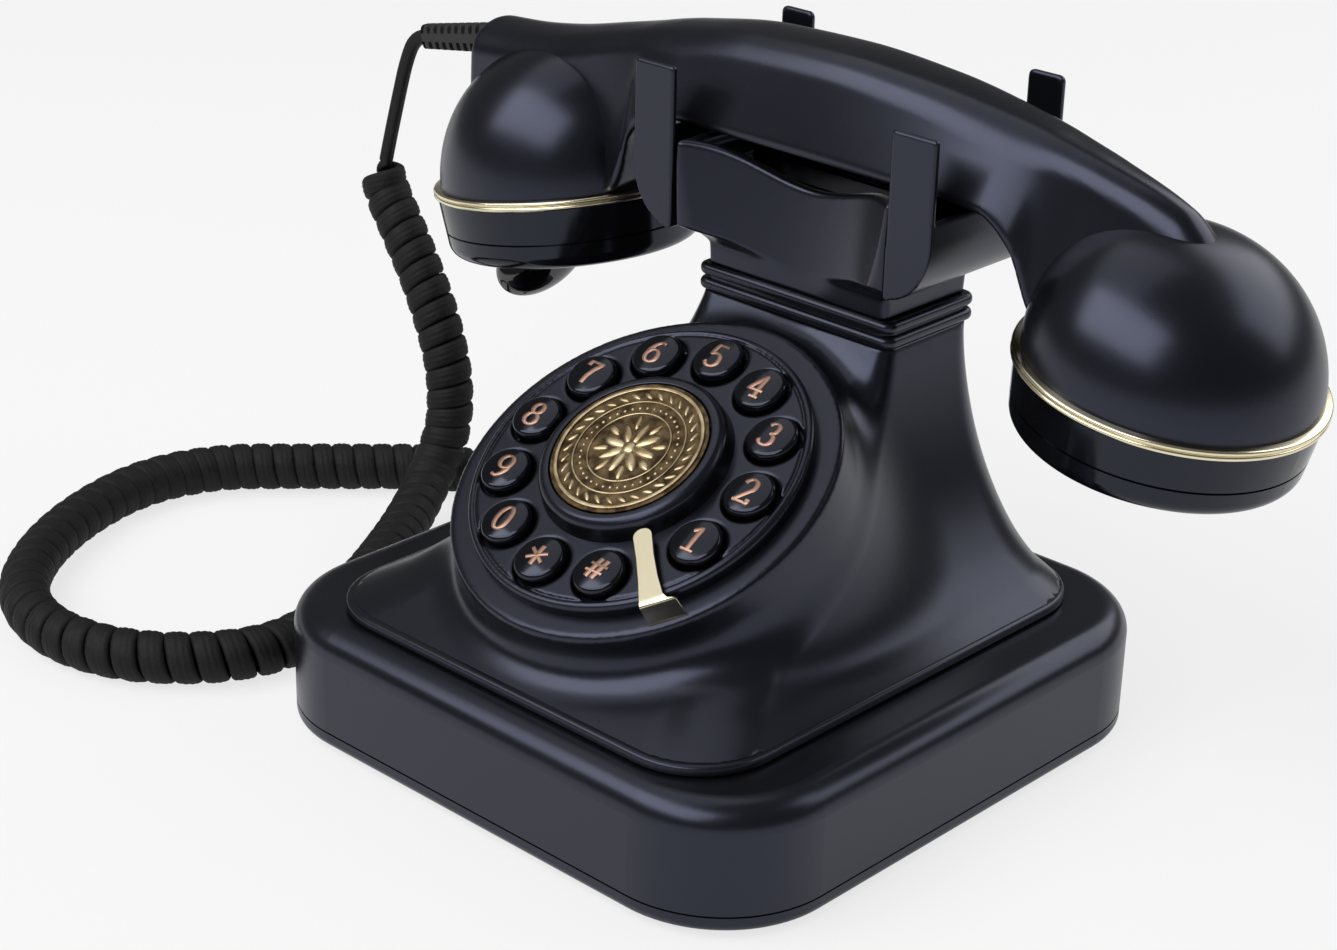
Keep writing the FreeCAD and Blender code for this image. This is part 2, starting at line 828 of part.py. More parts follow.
def grip_section(x, bottom, crown, half_bottom, half_ridge):
    """A trapezoid across the grip with a crowned top."""
    ridge = crown - grip_ridge_drop
    low_front = Vector(x, handset_y - half_bottom, bottom)
    low_rear = Vector(x, handset_y + half_bottom, bottom)
    high_rear = Vector(x, handset_y + half_ridge, ridge)
    high_front = Vector(x, handset_y - half_ridge, ridge)
    top = Vector(x, handset_y, crown)
    edges = [
        Part.LineSegment(low_front, low_rear).toShape(),
        Part.LineSegment(low_rear, high_rear).toShape(),
        Part.Arc(high_rear, top, high_front).toShape(),
        Part.LineSegment(high_front, low_front).toShape(),
    ]
    return Part.Wire(edges)


def grip_levels():
    """The grip's sections: place along X, underside, crown and half widths."""
    half = grip_half_bottom
    ridge = grip_half_ridge
    flat = fork_outer_x + grip_flat_margin
    drop = grip_bottom - ring_z
    fall = grip_crown - ring_z
    arm = [(flat + past * (cup_x - flat), low, high, wide) for past, low, high, wide in grip_profile]
    tail = [(-tail_x,) + grip_tail]
    levels = [(0.0, grip_bottom, grip_crown, half, ridge)]
    for x, low, high, wide in arm:
        levels.append((x, ring_z + low * drop, ring_z + high * fall, half * wide, ridge))
    for x, low, high, wide in arm + tail:
        levels.insert(0, (-x, ring_z + low * drop, ring_z + high * fall, half * wide, ridge))
    return levels


def make_handset_shell():
    sections = [grip_section(*level) for level in grip_levels()]
    grip = Part.makeLoft(sections, True, True)
    body = joined([grip, on_cup(cup_form(0.0, 1), 1), on_cup(cup_form(0.0, -1), -1)])
    for side in (-1, 1):
        body = body.cut(on_cup(cup_form(cup_wall, side), side))
    half_l = handset_weight_length / 2 + cup_wall
    half_w = handset_weight_width / 2 + fit_gap
    low = grip_bottom + cup_wall
    body = body.cut(box(-half_l, half_l, handset_y - half_w, handset_y + half_w,
                        low, low + handset_weight_height + fit_gap))
    for side in (-1, 1):
        start = Vector(side * (half_l - cup_wall), handset_y, low + wire_hole_radius)
        end = Vector(side * (cup_x - cup_radius / 2), handset_y, low - wire_hole_drop)
        way = end - start
        body = body.cut(Part.makeCylinder(wire_hole_radius, way.Length, start, way))
    return body


def make_handset_weight():
    half_l = handset_weight_length / 2
    half_w = handset_weight_width / 2
    low = grip_bottom + cup_wall
    return box(-half_l, half_l, handset_y - half_w, handset_y + half_w, low, low + handset_weight_height)


def make_ring(side):
    half = ring_height / 2
    band = upright(ring_radius, -half, half).cut(upright(cup_radius - 2 * cup_wall, -half, half))
    band = rounded(band, ring_round, lambda edge: edge.BoundBox.XLength > 1.9 * ring_radius
                   and edge.BoundBox.ZLength < 1e-6)
    return on_cup(band, side)


def cap_shell():
    top = -ring_height / 2
    bottom = top - cap_height
    groove = top - cap_groove_z
    taper = (cap_top_radius - cap_bottom_radius) / cap_height
    at_groove = cap_top_radius - taper * cap_groove_z
    under = at_groove - taper * cap_groove_height
    profile = [
        (0, top),
        (cap_top_radius, top),
        (at_groove, groove),
        (at_groove - cap_groove_depth, groove),
        (under - cap_groove_depth, groove - cap_groove_height),
        (under, groove - cap_groove_height),
        (cap_bottom_radius, bottom),
        (0, bottom),
    ]
    shell = turned(profile)
    shell = rounded(shell, cap_round, lambda edge: edge.BoundBox.ZLength < 1e-6
                    and abs(edge.BoundBox.ZMin - bottom) < 1e-6)
    inside = cap_bottom_radius - cap_round - cap_wall / 2
    return shell.cut(upright(inside, bottom + cap_wall, top))


def make_ear_cap():
    cap = cap_shell()
    bottom = -ring_height / 2 - cap_height
    for index in range(sound_hole_count):
        x, y = dial_point(receiver_radius / 2, index * 360 / sound_hole_count)
        cap = cap.cut(upright(sound_hole_radius, bottom, bottom + cap_wall, x, y))
    return on_cup(cap, 1)


def make_mouth_cap():
    bottom = -ring_height / 2 - cap_height
    cap = cap_shell().cut(upright(sound_hole_radius, bottom, bottom + cap_wall, 0, -spout_ahead))
    return on_cup(cap, -1)


def make_mouth_spout():
    """A half-round lip under the mouth cap, leaning to the front."""
    top = -ring_height / 2 - cap_height
    lip = Part.makeSphere(1.0, Vector(0, 0, 0))
    matrix = FreeCAD.Matrix()
    matrix.scale(spout_width / 2, spout_length / 2, spout_height)
    matrix.A23 = spout_lean
    lip = lip.transformGeometry(matrix)
    lip.translate(Vector(0, -spout_ahead, top))
    lip = lip.common(box(-spout_width, spout_width, -spout_ahead - spout_length, spout_length - spout_ahead,
                         top - 2 * spout_height, top))
    lip = lip.cut(upright(sound_hole_radius, top - 2 * spout_height, top, 0, -spout_ahead))
    return on_cup(lip, -1)


def make_receiver():
    low = -ring_height / 2 - cap_height + cap_wall
    body = upright(receiver_radius, low, low + receiver_height)
    return on_cup(rounded(body, key_plate_round, level_edge_at(low + receiver_height)), 1)


def make_microphone():
    low = -ring_height / 2 - cap_height + cap_wall
    return on_cup(upright(microphone_radius, low, low + microphone_height, 0, -spout_ahead), -1)


def make_strain_relief():
    lead_start = Vector(*handset_lead_points[0])
    rise = boot_length * boot_slope
    start = Vector(lead_start.x + boot_length, handset_y, lead_start.z + rise)
    way = lead_start - start
    length = way.Length - fit_gap
    rib_pitch = length / boot_rib_count
    points = [(0, 0)]
    for index in range(boot_rib_count):
        low = index * rib_pitch
        points.append((boot_radius, low))
        points.append((boot_radius, low + rib_pitch * boot_rib_share))
        points.append((boot_radius - boot_rib, low + rib_pitch * boot_rib_share))
        points.append((boot_radius - boot_rib, low + rib_pitch))
    points.append((0, length))
    boot = turned(points)
    turn = FreeCAD.Rotation(Z_AXIS, way)
    boot.Placement = FreeCAD.Placement(start, turn)
    return boot.cut(box(tail_x, 0, 0, base_depth, 0, grip_crown))


def rounded_route(points, name):
    """Straight runs joined by arcs as large as the runs allow."""
    corners = [Vector(*point) for point in points]
    edges = []
    radii = []
    here = corners[0]
    for before, corner, after in zip(corners, corners[1:], corners[2:]):
        back = before - corner
        ahead = after - corner
        shorter = min(back.Length, ahead.Length)
        turn = math.pi - back.getAngle(ahead)
        reach = bend_reach * shorter
        radius = reach / math.tan(turn / 2)
        radii.append(radius)
        back.normalize()
        ahead.normalize()
        start = corner + back * reach
        end = corner + ahead * reach
        bisector = (back + ahead).normalize()
        centre_distance = radius / math.cos(turn / 2)
        middle = corner + bisector * (centre_distance - radius)
        edges.append(Part.LineSegment(here, start).toShape())
        edges.append(Part.Arc(start, middle, end).toShape())
        here = end
    edges.append(Part.LineSegment(here, corners[-1]).toShape())
    print(name, "bend radii", [round(radius, 1) for radius in radii])
    return Part.Wire(edges)


def make_tube(points, diameter, name):
    route = rounded_route(points, name)
    first = Vector(*points[0])
    way = Vector(*points[1]) - first
    section = Part.Wire(Part.makeCircle(diameter / 2, first, way))
    tube = route.makePipeShell([section], True, False)
    expected = math.pi * diameter ** 2 / 4 * route.Length
    print(name, "length", round(route.Length, 1), "volume ratio", round(tube.Volume / expected, 4))
    return tube


def all_pieces():
    """Every node's name and solid."""
    pieces = {
        "bottom_plate": make_bottom_plate(),
        "rubber_feet": make_feet(),
        "base_screws": make_base_screws(),
        "plinth_shell": make_plinth(),
        "upper_housing": make_upper_housing(),
        "key_plate": make_key_plate(),
        "medallion": make_medallion(),
        "finger_stop": make_finger_stop(),
        "dome_mat": make_dome_mat(),
        "keypad_board": make_keypad_board(),
        "neck_collar": make_collar(),
        "head_block": make_head_block(),
        "fork_right": make_fork(1),
        "fork_left": make_fork(-1),
        "fork_crossbar": make_crossbar(),
        "hook_spring": make_hook_spring(),
        "switch_bracket": make_switch_bracket(),
        "hook_switch": make_hook_switch(),
        "main_board": make_main_board(),
        "ballast_plate": make_ballast(),
        "ringer": make_ringer(),
        "line_jack": make_line_jack(),
        "handset_jack": make_handset_jack(),
        "cord_plug": make_cord_plug(),
        "handset_shell": make_handset_shell(),
        "handset_weight": make_handset_weight(),
        "ear_ring": make_ring(1),
        "mouth_ring": make_ring(-1),
        "ear_cap": make_ear_cap(),
        "mouth_cap": make_mouth_cap(),
        "mouth_spout": make_mouth_spout(),
        "receiver": make_receiver(),
        "microphone": make_microphone(),
        "strain_relief": make_strain_relief(),
        "handset_lead": make_tube(handset_lead_points, lead_diameter, "handset_lead"),
        "curly_cord": make_tube(coil_points, coil_diameter, "curly_cord"),
        "base_lead": make_tube(base_lead_points, lead_diameter, "base_lead"),
    }
    for name, x, y in key_places():
        pieces["key_" + name] = make_key(x, y)
    return pieces


os.makedirs("parts", exist_ok=True)
for node, shape in all_pieces().items():
    print(node, "valid", shape.isValid(), "solids", len(shape.Solids), "volume", round(shape.Volume, 1))
    shape.exportStep("parts/" + node + ".step")
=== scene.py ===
"""Dressed scene of the push-button desk telephone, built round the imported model.

Sizes are in millimetres, as in the part's source, and become metres when a mesh is made.
Lamps and the floor are in metres.
"""
import json
import bpy
import numpy as np
from math import cos, hypot, pi, radians, sin
from mathutils import Matrix, Vector


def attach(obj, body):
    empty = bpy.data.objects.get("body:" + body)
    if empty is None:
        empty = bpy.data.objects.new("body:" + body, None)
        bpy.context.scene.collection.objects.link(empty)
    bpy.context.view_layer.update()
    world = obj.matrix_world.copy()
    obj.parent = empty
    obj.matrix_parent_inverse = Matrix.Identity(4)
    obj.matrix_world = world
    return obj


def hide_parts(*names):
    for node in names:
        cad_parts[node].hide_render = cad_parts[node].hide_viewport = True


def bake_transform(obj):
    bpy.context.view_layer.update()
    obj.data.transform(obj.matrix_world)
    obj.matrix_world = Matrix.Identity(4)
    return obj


MM = 0.001

# Camera fitted to the photograph
camera_place = (365.78, -408.94, 302.99)
camera_yaw = radians(42.9)
camera_pitch = radians(24.11)
camera_roll = radians(1.45)
camera_focal_pixels = 2800.0
photo_width_pixels = 1337.0
sensor_width = 36.0

# Light
floor_glows = (("Is Camera Ray", 0.75), ("Is Glossy Ray", 0.45), ("Is Transmission Ray", 0.75))
floor_half = 6.0
floor_color = (0.86, 0.86, 0.86)
floor_roughness = 0.7
world_light = 0.12
lamp_target = (0.0, 0.0, 0.08)
# Each lamp: name, place, size and power
lamps = (
    ("front_lamp", (-0.22, -0.92, 1.06), (1.8, 0.9), 17.0),
    ("rear_lamp", (0.4, 0.98, 0.8), (1.4, 0.8), 6.5),
    ("top_lamp", (-0.5, 0.05, 1.34), (1.3, 1.0), 3.0),
)

# Spacing of the grids that field surfaces are found on
coarse_grid = 0.8
head_grid = 0.5
fine_grid = 0.4

# Dial plate and drum
dial_y = -25.0
dial_z = 68.3
dial_tilt = radians(30.2)
dial_around = 128
key_plate_radius = 38.1
key_plate_thickness = 6.0
key_plate_edge = 1.6
groove_inset = 1.9
groove_half = 0.3
groove_depth = 0.35
drum_radius = 20.6
drum_height = 4.9
drum_inner = 17.8
drum_land = 19.3
drum_shoulder = 3.9
drum_spread = 0.8
drum_seat = 1.9
drum_bottom = -1.0

# Keys
key_circle_radius = 29.7
key_radius = 5.6
key_around = 64
key_proud = 2.2
key_bottom = -4.4
key_shoulder = 0.8
key_round = 1.0
key_round_height = 1.05
key_round_steps = 6
key_fall = 0.35
key_fall_reach = 4.6
key_crown_places = (4.2, 3.6, 3.0, 2.2, 1.4, 0.7, 0.05)
key_well_radius = 6.2
key_well_edge = 0.9
first_key_angle = -24.2
key_pitch = 29.03
key_names = ["1", "2", "3", "4", "5", "6", "7", "8", "9", "0", "star", "hash"]

# Signs on the keys
sign_width = 3.9
sign_thin = 0.34
sign_thick = 0.64
sign_height = 0.22
sign_edge = 0.1
sign_sink = 0.3
sign_flat = 0.7
sign_swell = 1.5
sign_spacing = 0.35

# Medallion
medallion_radius = 17.4
medallion_top = 5.3
medallion_floor = medallion_top - 0.45
medallion_bottom = 3.7
medallion_edge = 0.2
medallion_pole = 0.05
relief_sink = 0.1
relief_edge = 0.15
leaf_sink = 0.05
leaf_rows = 4
leaf_around = 20
# Each raised ring: inner and outer radius, height
relief_rings = ((15.75, 16.55, 0.42), (12.25, 12.65, 0.28), (9.0, 9.4, 0.28))
# Each circle of mounds: count, first place in steps, distance, half length and width, height, lean in degrees
relief_circles = (
    (8, 0.0, 4.0, 2.9, 1.15, 0.42, 0.0),
    (8, 0.5, 6.7, 1.9, 0.85, 0.36, 0.0),
    (32, 0.0, 14.2, 1.35, 0.5, 0.26, 50.0),
    (40, 0.0, 10.8, 0.42, 0.42, 0.26, 0.0),
    (1, 0.0, 0.0, 1.7, 1.7, 0.55, 0.0),
)

# Housing
plinth_top = 29.0
step_width = 115.0
step_depth = 128.0
step_y = -1.5
step_corner = 18.0
step_height = 2.0
neck_half_width = 26.5
neck_front = 21.75
neck_rear = 51.25
neck_top = 88.0
neck_corner = 3.0
housing_wall = 2.5
boss_radius = 43.4
boss_drop = 3.3
boss_flare = 0.06
boss_edge = 1.4
boss_blend = 9.0
dial_room_depth = 20.0
# Shares of the rise from step to neck, and of the way out from the neck to the step
housing_rises = [0.0, 0.08, 0.24, 0.46, 0.65, 0.84, 1.0]
housing_widths = [1.0, 0.77, 0.53, 0.3, 0.165, 0.065, 0.0]
housing_fronts = [1.0, 0.86, 0.62, 0.36, 0.19, 0.07, 0.0]
housing_rears = [1.0, 0.78, 0.5, 0.28, 0.14, 0.05, 0.0]
# Round the step's edge: inset, and height above the plinth
skirt_profile = [
    (6.0, 0.0), (1.0, 0.0), (1.0, 0.5), (0.0, 0.65), (0.0, 1.8),
    (0.08, 2.1), (0.3, 2.35), (0.7, 2.5), (1.5, 2.55), (6.0, 2.7),
]

# Finger stop
stop_angle = radians(-44.5)
stop_radius = 41.5
stop_top = 2.7
stop_thickness = 0.8
stop_tip_half = 2.0
stop_tip_steps = 6
stop_low = -2.4
stop_bevel = 0.15
# Along the strip: distance from the dial's axis, low side and high side
stop_strip = [
    (23.4, -stop_tip_half, stop_tip_half), (29.0, -1.85, 1.85), (35.0, -2.0, 2.1),
    (40.0, -2.3, 2.7), (stop_radius, stop_low, 3.5),
]
# Down the fold: distance beyond the strip, drop and high side
stop_fold = [
    (0.3, 0.1, 4.6), (0.52, 0.35, 5.0), (0.6, 0.8, 5.2), (0.6, 3.0, 5.4),
    (0.6, stop_top + boss_drop, 5.6),
]

# Handset cups and rings
handset_y = 39.5
cup_x = 85.3
cup_radius = 30.8
cup_heights = {1: 29.0, -1: 32.2}
cup_power = 2.15
cup_lean = 3.0
cup_foot = 0.8
cup_tilt = radians(9.4)
cup_rows = 44
cup_open = 0.9
cup_around = 144
ring_z = 95.5
ring_radius = 32.0
ring_inner = 27.5
ring_height = 2.2
ring_bead = 0.5
ring_bead_steps = 6
ring_around = 160

# Grip
grip_bottom = 123.4
grip_end = 94.0
grip_bow = 1.5
grip_edge = 4.0
grip_low_edge = 2.4
grip_least = 1.0
grip_room = 19.0
tail_x = -110.0
tail_start = -60.0
tail_bow = 4.0
tail_edge = 2.0
# Along each arm of the grip: place and half width
grip_places = [0.0, 23.2, 46.5, 53.5, 59.3, 67.5, 85.3, 110.0]
grip_halves = [17.0, 17.0, 17.0, 16.5, 15.6, 14.5, 12.9, 10.5]
# From the left end to the right: place and half ridge, place and underside, place and crown
ridge_places = [-110.0, 0.0, 30.0, 60.0, 85.0, 98.0]
grip_ridges = [9.6, 9.6, 8.9, 7.0, 5.2, 4.6]
low_places = [-110.0, -67.5, -60.0, -57.0, -55.2, -54.2, -53.3, -52.0, -49.0, -45.0, -40.0,
              0.0, 40.0, 46.5, 53.5, 59.3, 67.5, 98.0]
grip_lows = [97.0, 97.4, 100.5, 102.0, 104.0, 107.0, 111.7, 115.5, 119.0, 121.8, 123.2,
             grip_bottom, 123.2, 122.6, 117.2, 105.0, 97.6, 97.0]
crown_places = [-110.0, -98.0, -85.3, -67.5, -59.3, -53.5, -46.5, -23.2,
                0.0, 23.2, 46.5, 53.5, 59.3, 67.5, 85.3, 90.0, 94.0]
grip_crowns = [129.8, 130.6, 132.4, 136.4, 138.3, 139.8, 141.3, 144.7,
               145.3, 144.0, 140.7, 139.3, 137.8, 135.7, 129.9, 126.4, 122.0]

# Lip under the left cap
spout_length = 27.0
spout_width = 14.0
spout_height = 9.2
spout_ahead = 11.2
spout_lean = 4.5
spout_top = 15.6
spout_rows = 14
spout_close = 0.985
spout_around = 64

# Ribbed boot
boot_start = (-110.0, 39.5, 124.3)
boot_end = (-135.3, 39.5, 119.5)
boot_ribs = 10
boot_half_width = 2.5
boot_half_height = 3.6
boot_power = 4
boot_taper = 0.16
boot_groove = 0.7
boot_spine = 0.34
boot_sink = 1.0
boot_short = 0.2
boot_around = 40
# Along one rib: share of its pitch, and whether it stands full there
rib_shares = ((0.06, True), (0.54, True), (0.6, False), (0.94, False))

# Head block
collar_top = 94.0
head_top = 122.2
head_sag = 6.2
head_heights = [94.0, 98.5, 101.05, 103.6, 122.2]
head_halves = [25.2, 25.33, 26.82, 29.52, 29.7]
head_fronts = [22.75, 22.53, 20.6, 15.95, 15.6]
head_rears = [50.25, 50.6, 53.6, 60.85, 61.4]
head_corner = 1.5
head_edge = 1.0
head_hollow = 11.4
# Each hollow: the way it faces, and its deepest place at the collar and at the top
head_scoops = ((-1, 22.75, 27.0), (1, 50.25, 50.0))
head_rim = 2.6
head_recess = 3.0
head_room_half = 22.2
head_room_front = 30.0
head_room_rear = 47.0
head_floor = 97.0
head_box = ((-31.2, 14.2, 93.0), (31.2, 62.8, 124.0))

# Fork
fork_y = 38.5
fork_inner = 30.0
fork_outer = 41.5
fork_front = 15.3
fork_rear = 61.7
fork_wall = 1.6
fork_edge = 0.7
fork_bottom = 102.4
fork_bend = 14.0
fork_rim = 121.0
fork_margin = 1.2
front_arm_top = 138.4
rear_arm_top = 142.5
rear_arm_width = 9.0
rear_arm_root = 2.0
rear_arm_edge = 1.5
crossbar_low = 107.4
crossbar_half = 4.8
inner_plate_rise = 6.6
saddle_half = 7.0
saddle_edge = 2.0
saddle_gap = 0.3

# Cord routes, the same points as in the part's source
lead_points = [
    (-135.3, 39.5, 119.5), (-139.7, 39.5, 118.66), (-143.0, 39.2, 112.0),
    (-145.6, 38.5, 101.5), (-148.2, 37.8, 90.5), (-150.5, 37.0, 79.5),
]
coil_points = [
    (-141.8, 36.2, 69.0), (-133.0, 35.3, 57.8), (-125.8, 34.3, 46.3), (-121.3, 33.4, 34.5),
    (-119.6, 31.3, 22.0), (-119.3, 24.0, 10.5), (-111.5, 10.0, 6.2), (-99.8, -9.0, 6.2),
    (-90.0, -27.0, 6.2), (-82.3, -43.5, 6.2), (-81.0, -59.0, 6.2), (-89.5, -74.0, 6.2),
    (-104.0, -85.5, 6.2), (-123.0, -89.5, 6.2), (-143.0, -83.5, 6.2), (-158.5, -68.0, 6.2),
    (-170.0, -47.0, 6.2), (-175.5, -24.0, 6.2), (-170.0, -4.0, 6.2), (-156.5, 10.5, 6.2),
    (-144.5, 23.0, 6.2), (-131.5, 36.5, 6.2), (-116.0, 46.0, 6.2), (-103.0, 48.0, 7.0),
]
base_lead_points = [(-96.0, 47.5, 8.0), (-90.0, 45.0, 9.4), (-85.0, 41.5, 10.6), (-79.0, 40.0, 11.0)]
ribbon_thickness = 2.3
ribbon_crown = 0.75
ribbon_ribs = 4
ribbon_dent = 0.13
ribbon_back = 0.2
ribbon_fill = 0.985
lead_width = 3.4
coil_radius = 6.0
coil_early = 4.5
coil_ramp_turns = 0.8
coil_turn_steps = 20
coil_line_steps = 3600
# Along the coil: distance and pitch
coil_pitches = [(0.0, 5.2), (90.0, 5.3), (150.0, 5.8), (290.0, 6.0), (330.0, 5.2), (423.0, 5.2)]

# Surfaces
cloud_detail = 3.0
cloud_span = (0.3, 0.7)
tint_span = (0.35, 0.68)
grain_detail = 2.0
grain_depth = 0.0002
# Each look: name, two colours, span of roughness, and what departs from a plain surface
looks = [
    # Satin and gloss black tint their reflections blue: a painted reflection of bluish daylight on the
    # plastic
    ("satin_black", (0.004, 0.0041, 0.005), (0.0056, 0.0057, 0.007), (0.25, 0.31),
     {"bump": 0.03, "specular": 0.65, "painted_blue_reflection": (0.66, 0.71, 1.0)}),
    ("gloss_black", (0.0035, 0.0036, 0.0044), (0.0046, 0.0047, 0.0058), (0.1, 0.15),
     {"bump": 0.01, "painted_blue_reflection": (0.7, 0.76, 1.0)}),
    ("lip_black", (0.0035, 0.0036, 0.0044), (0.0046, 0.0047, 0.0058), (0.05, 0.08),
     {"bump": 0.01, "specular": 1.0}),
    ("polished_gold", (0.86, 0.78, 0.55), (0.9, 0.83, 0.61), (0.14, 0.22), {"metallic": 1.0, "bump": 0.03}),
    ("copper", (0.42, 0.245, 0.18), (0.52, 0.32, 0.245), (0.32, 0.44), {"metallic": 0.75}),
    ("brass_high", (0.38, 0.28, 0.15), (0.7, 0.58, 0.37), (0.26, 0.4), {"metallic": 1.0, "cloud": 260.0}),
    ("brass_low", (0.045, 0.03, 0.016), (0.2, 0.14, 0.075), (0.42, 0.6),
     {"metallic": 1.0, "cloud": 420.0}),
    ("black_rubber", (0.012, 0.012, 0.013), (0.017, 0.017, 0.018), (0.5, 0.62), {"bump": 0.2}),
    ("cord_black", (0.006, 0.006, 0.0068), (0.011, 0.011, 0.012), (0.6, 0.75),
     {"grain": 1600.0, "bump": 0.5, "cloud": 500.0, "specular": 0.3}),
    ("jack_black", (0.02, 0.02, 0.02), (0.028, 0.028, 0.028), (0.45, 0.55), {}),
    ("clear_plug", (0.55, 0.57, 0.58), (0.62, 0.64, 0.65), (0.1, 0.18), {}),
    ("steel", (0.5, 0.5, 0.51), (0.6, 0.6, 0.61), (0.28, 0.4), {"metallic": 1.0}),
    ("circuit_board", (0.02, 0.16, 0.06), (0.03, 0.2, 0.08), (0.4, 0.5), {}),
    ("capsule_grey", (0.16, 0.16, 0.16), (0.22, 0.22, 0.22), (0.45, 0.55), {}),
]

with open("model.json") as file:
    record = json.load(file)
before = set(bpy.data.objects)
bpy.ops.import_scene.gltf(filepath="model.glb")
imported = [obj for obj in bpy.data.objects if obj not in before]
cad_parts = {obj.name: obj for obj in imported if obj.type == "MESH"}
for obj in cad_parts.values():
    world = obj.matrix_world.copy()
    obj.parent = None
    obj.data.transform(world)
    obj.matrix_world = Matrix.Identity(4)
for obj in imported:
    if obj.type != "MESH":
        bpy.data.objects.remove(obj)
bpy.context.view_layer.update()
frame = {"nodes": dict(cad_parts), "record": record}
nodes = frame["nodes"]
materials = {}


# Materials

def set_inputs(node, values):
    """Give a node's inputs their values."""
    for name, value in values.items():
        node.inputs[name].default_value = value


def new_material(name, color, roughness, metallic=0.0):
    """A material with one shader, and that shader."""
    material = bpy.data.materials.new(name)
    material.use_nodes = True
    shader = material.node_tree.nodes["Principled BSDF"]
    set_inputs(shader, {"Base Color": (*color, 1.0), "Roughness": roughness, "Metallic": metallic})
    return material, shader


def add_noise(tree, scale, detail):
    """A noise texture in object space."""
    place = tree.nodes.new("ShaderNodeTexCoord")
    noise = tree.nodes.new("ShaderNodeTexNoise")
    set_inputs(noise, {"Scale": scale, "Detail": detail})
    tree.links.new(place.outputs["Object"], noise.inputs["Vector"])
    return noise.outputs["Fac"]


def speckled(name, first, second, roughness, metallic=0.0, grain=900.0, bump=0.05, cloud=18.0,
             specular=0.5, painted_blue_reflection=(1.0, 1.0, 1.0)):
    """A material with two close colours, uneven gloss, a fine grain and a reflection tint that paints a
    coloured light onto its reflections.
    """
    material, shader = new_material(name, first, roughness[0], metallic)
    # The reflection tint paints the colour of the light onto every reflection of this material
    set_inputs(shader, {"Specular IOR Level": specular, "Specular Tint": (*painted_blue_reflection, 1.0)})
    tree = material.node_tree
    clouds = add_noise(tree, cloud, cloud_detail)
    fine = add_noise(tree, grain, grain_detail)
    ramp = tree.nodes.new("ShaderNodeValToRGB")
    for element, place, color in zip(ramp.color_ramp.elements, tint_span, (first, second)):
        element.position = place
        element.color = (*color, 1.0)
    tree.links.new(clouds, ramp.inputs["Fac"])
    tree.links.new(ramp.outputs["Color"], shader.inputs["Base Color"])
    spread = tree.nodes.new("ShaderNodeMapRange")
    set_inputs(spread, dict(zip(("From Min", "From Max", "To Min", "To Max"), cloud_span + roughness)))
    tree.links.new(clouds, spread.inputs["Value"])
    tree.links.new(spread.outputs["Result"], shader.inputs["Roughness"])
    raised = tree.nodes.new("ShaderNodeBump")
    set_inputs(raised, {"Strength": bump, "Distance": grain_depth})
    tree.links.new(fine, raised.inputs["Height"])
    tree.links.new(raised.outputs["Normal"], shader.inputs["Normal"])
    return material


def make_materials():
    """Every look, and the one slot whose look has another name."""
    for name, first, second, roughness, departs in looks:
        materials[name] = speckled(name, first, second, roughness, **departs)
    materials["antique_brass"] = materials["brass_low"]


def dress_nodes():
    """Give every carried-over node its slot's material."""
    for row in frame["record"]["subparts"]:
        mesh = nodes[row["node"]].data
        mesh.materials.clear()
        mesh.materials.append(materials[row["material_slot"]])


# Meshes, from shapes that are points and faces

def new_object(name, data):
    """An object in the scene."""
    item = bpy.data.objects.new(name, data)
    bpy.context.scene.collection.objects.link(item)
    return item


def new_piece(name, shape, look):
    """A smooth mesh object from a shape in millimetres."""
    points, faces = shape
    mesh = bpy.data.meshes.new(name)
    mesh.from_pydata([tuple(MM * value for value in point) for point in points], [], faces)
    mesh.update()
    mesh.shade_smooth()
    mesh.materials.append(materials[look])
    return new_object(name, mesh)


def add_piece(name, shape, body, slot, replaces=None, sharp=None, look=None):
    """A piece that rides on a body, with its slot's look unless another is named."""
    piece = new_piece(name, shape, look or slot)
    if sharp is not None:
        piece.data.set_sharp_from_angle(angle=radians(sharp))
    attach(piece, body)
    if replaces:
        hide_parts(replaces)
    return piece


def moved(shape, place, *more):
    """A shape with each point put into another frame."""
    points, faces = shape
    return [place(point, *more) for point in points], faces


def joined(shapes):
    """Several shapes as one."""
    all_points = []
    all_faces = []
    for points, faces in shapes:
        start = len(all_points)
        all_points += points
        all_faces += [tuple(start + corner for corner in face) for face in faces]
    return all_points, all_faces


def dial_place(point):
    """A point of the dial's own frame, in the telephone's frame."""
    u, v, w = point
    y = dial_y + v * cos(dial_tilt) - w * sin(dial_tilt)
    z = dial_z + v * sin(dial_tilt) + w * cos(dial_tilt)
    return (u, y, z)


def cup_place(point, side):
    """A point of a cup's own frame, in the telephone's frame."""
    u, v, w = point
    tilt = side * cup_tilt
    x = side * cup_x + u * cos(tilt) + w * sin(tilt)
    z = ring_z - u * sin(tilt) + w * cos(tilt)
    return (x, handset_y + v, z)


def turn_angles(count):
    """Even angles round a circle."""
    return [2 * pi * step / count for step in range(count)]


def loft(rings, closed_ends=True):
    """A skin over rings that have the same number of points."""
    count = len(rings[0])
    points = [point for ring in rings for point in ring]
    faces = []
    for row in range(len(rings) - 1):
        for index in range(count):
            following = (index + 1) % count
            low = row * count
            faces.append((low + index, low + following, low + count + following, low + count + index))
    if closed_ends:
        faces.append(tuple(reversed(range(count))))
        last = (len(rings) - 1) * count
        faces.append(tuple(range(last, last + count)))
    return points, faces


def lathe(profile, around, closed_ends=True):
    """A skin turned about Z from (radius, height) points."""
    rings = []
    for radius, height in profile:
        rings.append([(radius * cos(a), radius * sin(a), height) for a in turn_angles(around)])
    return loft(rings, closed_ends)


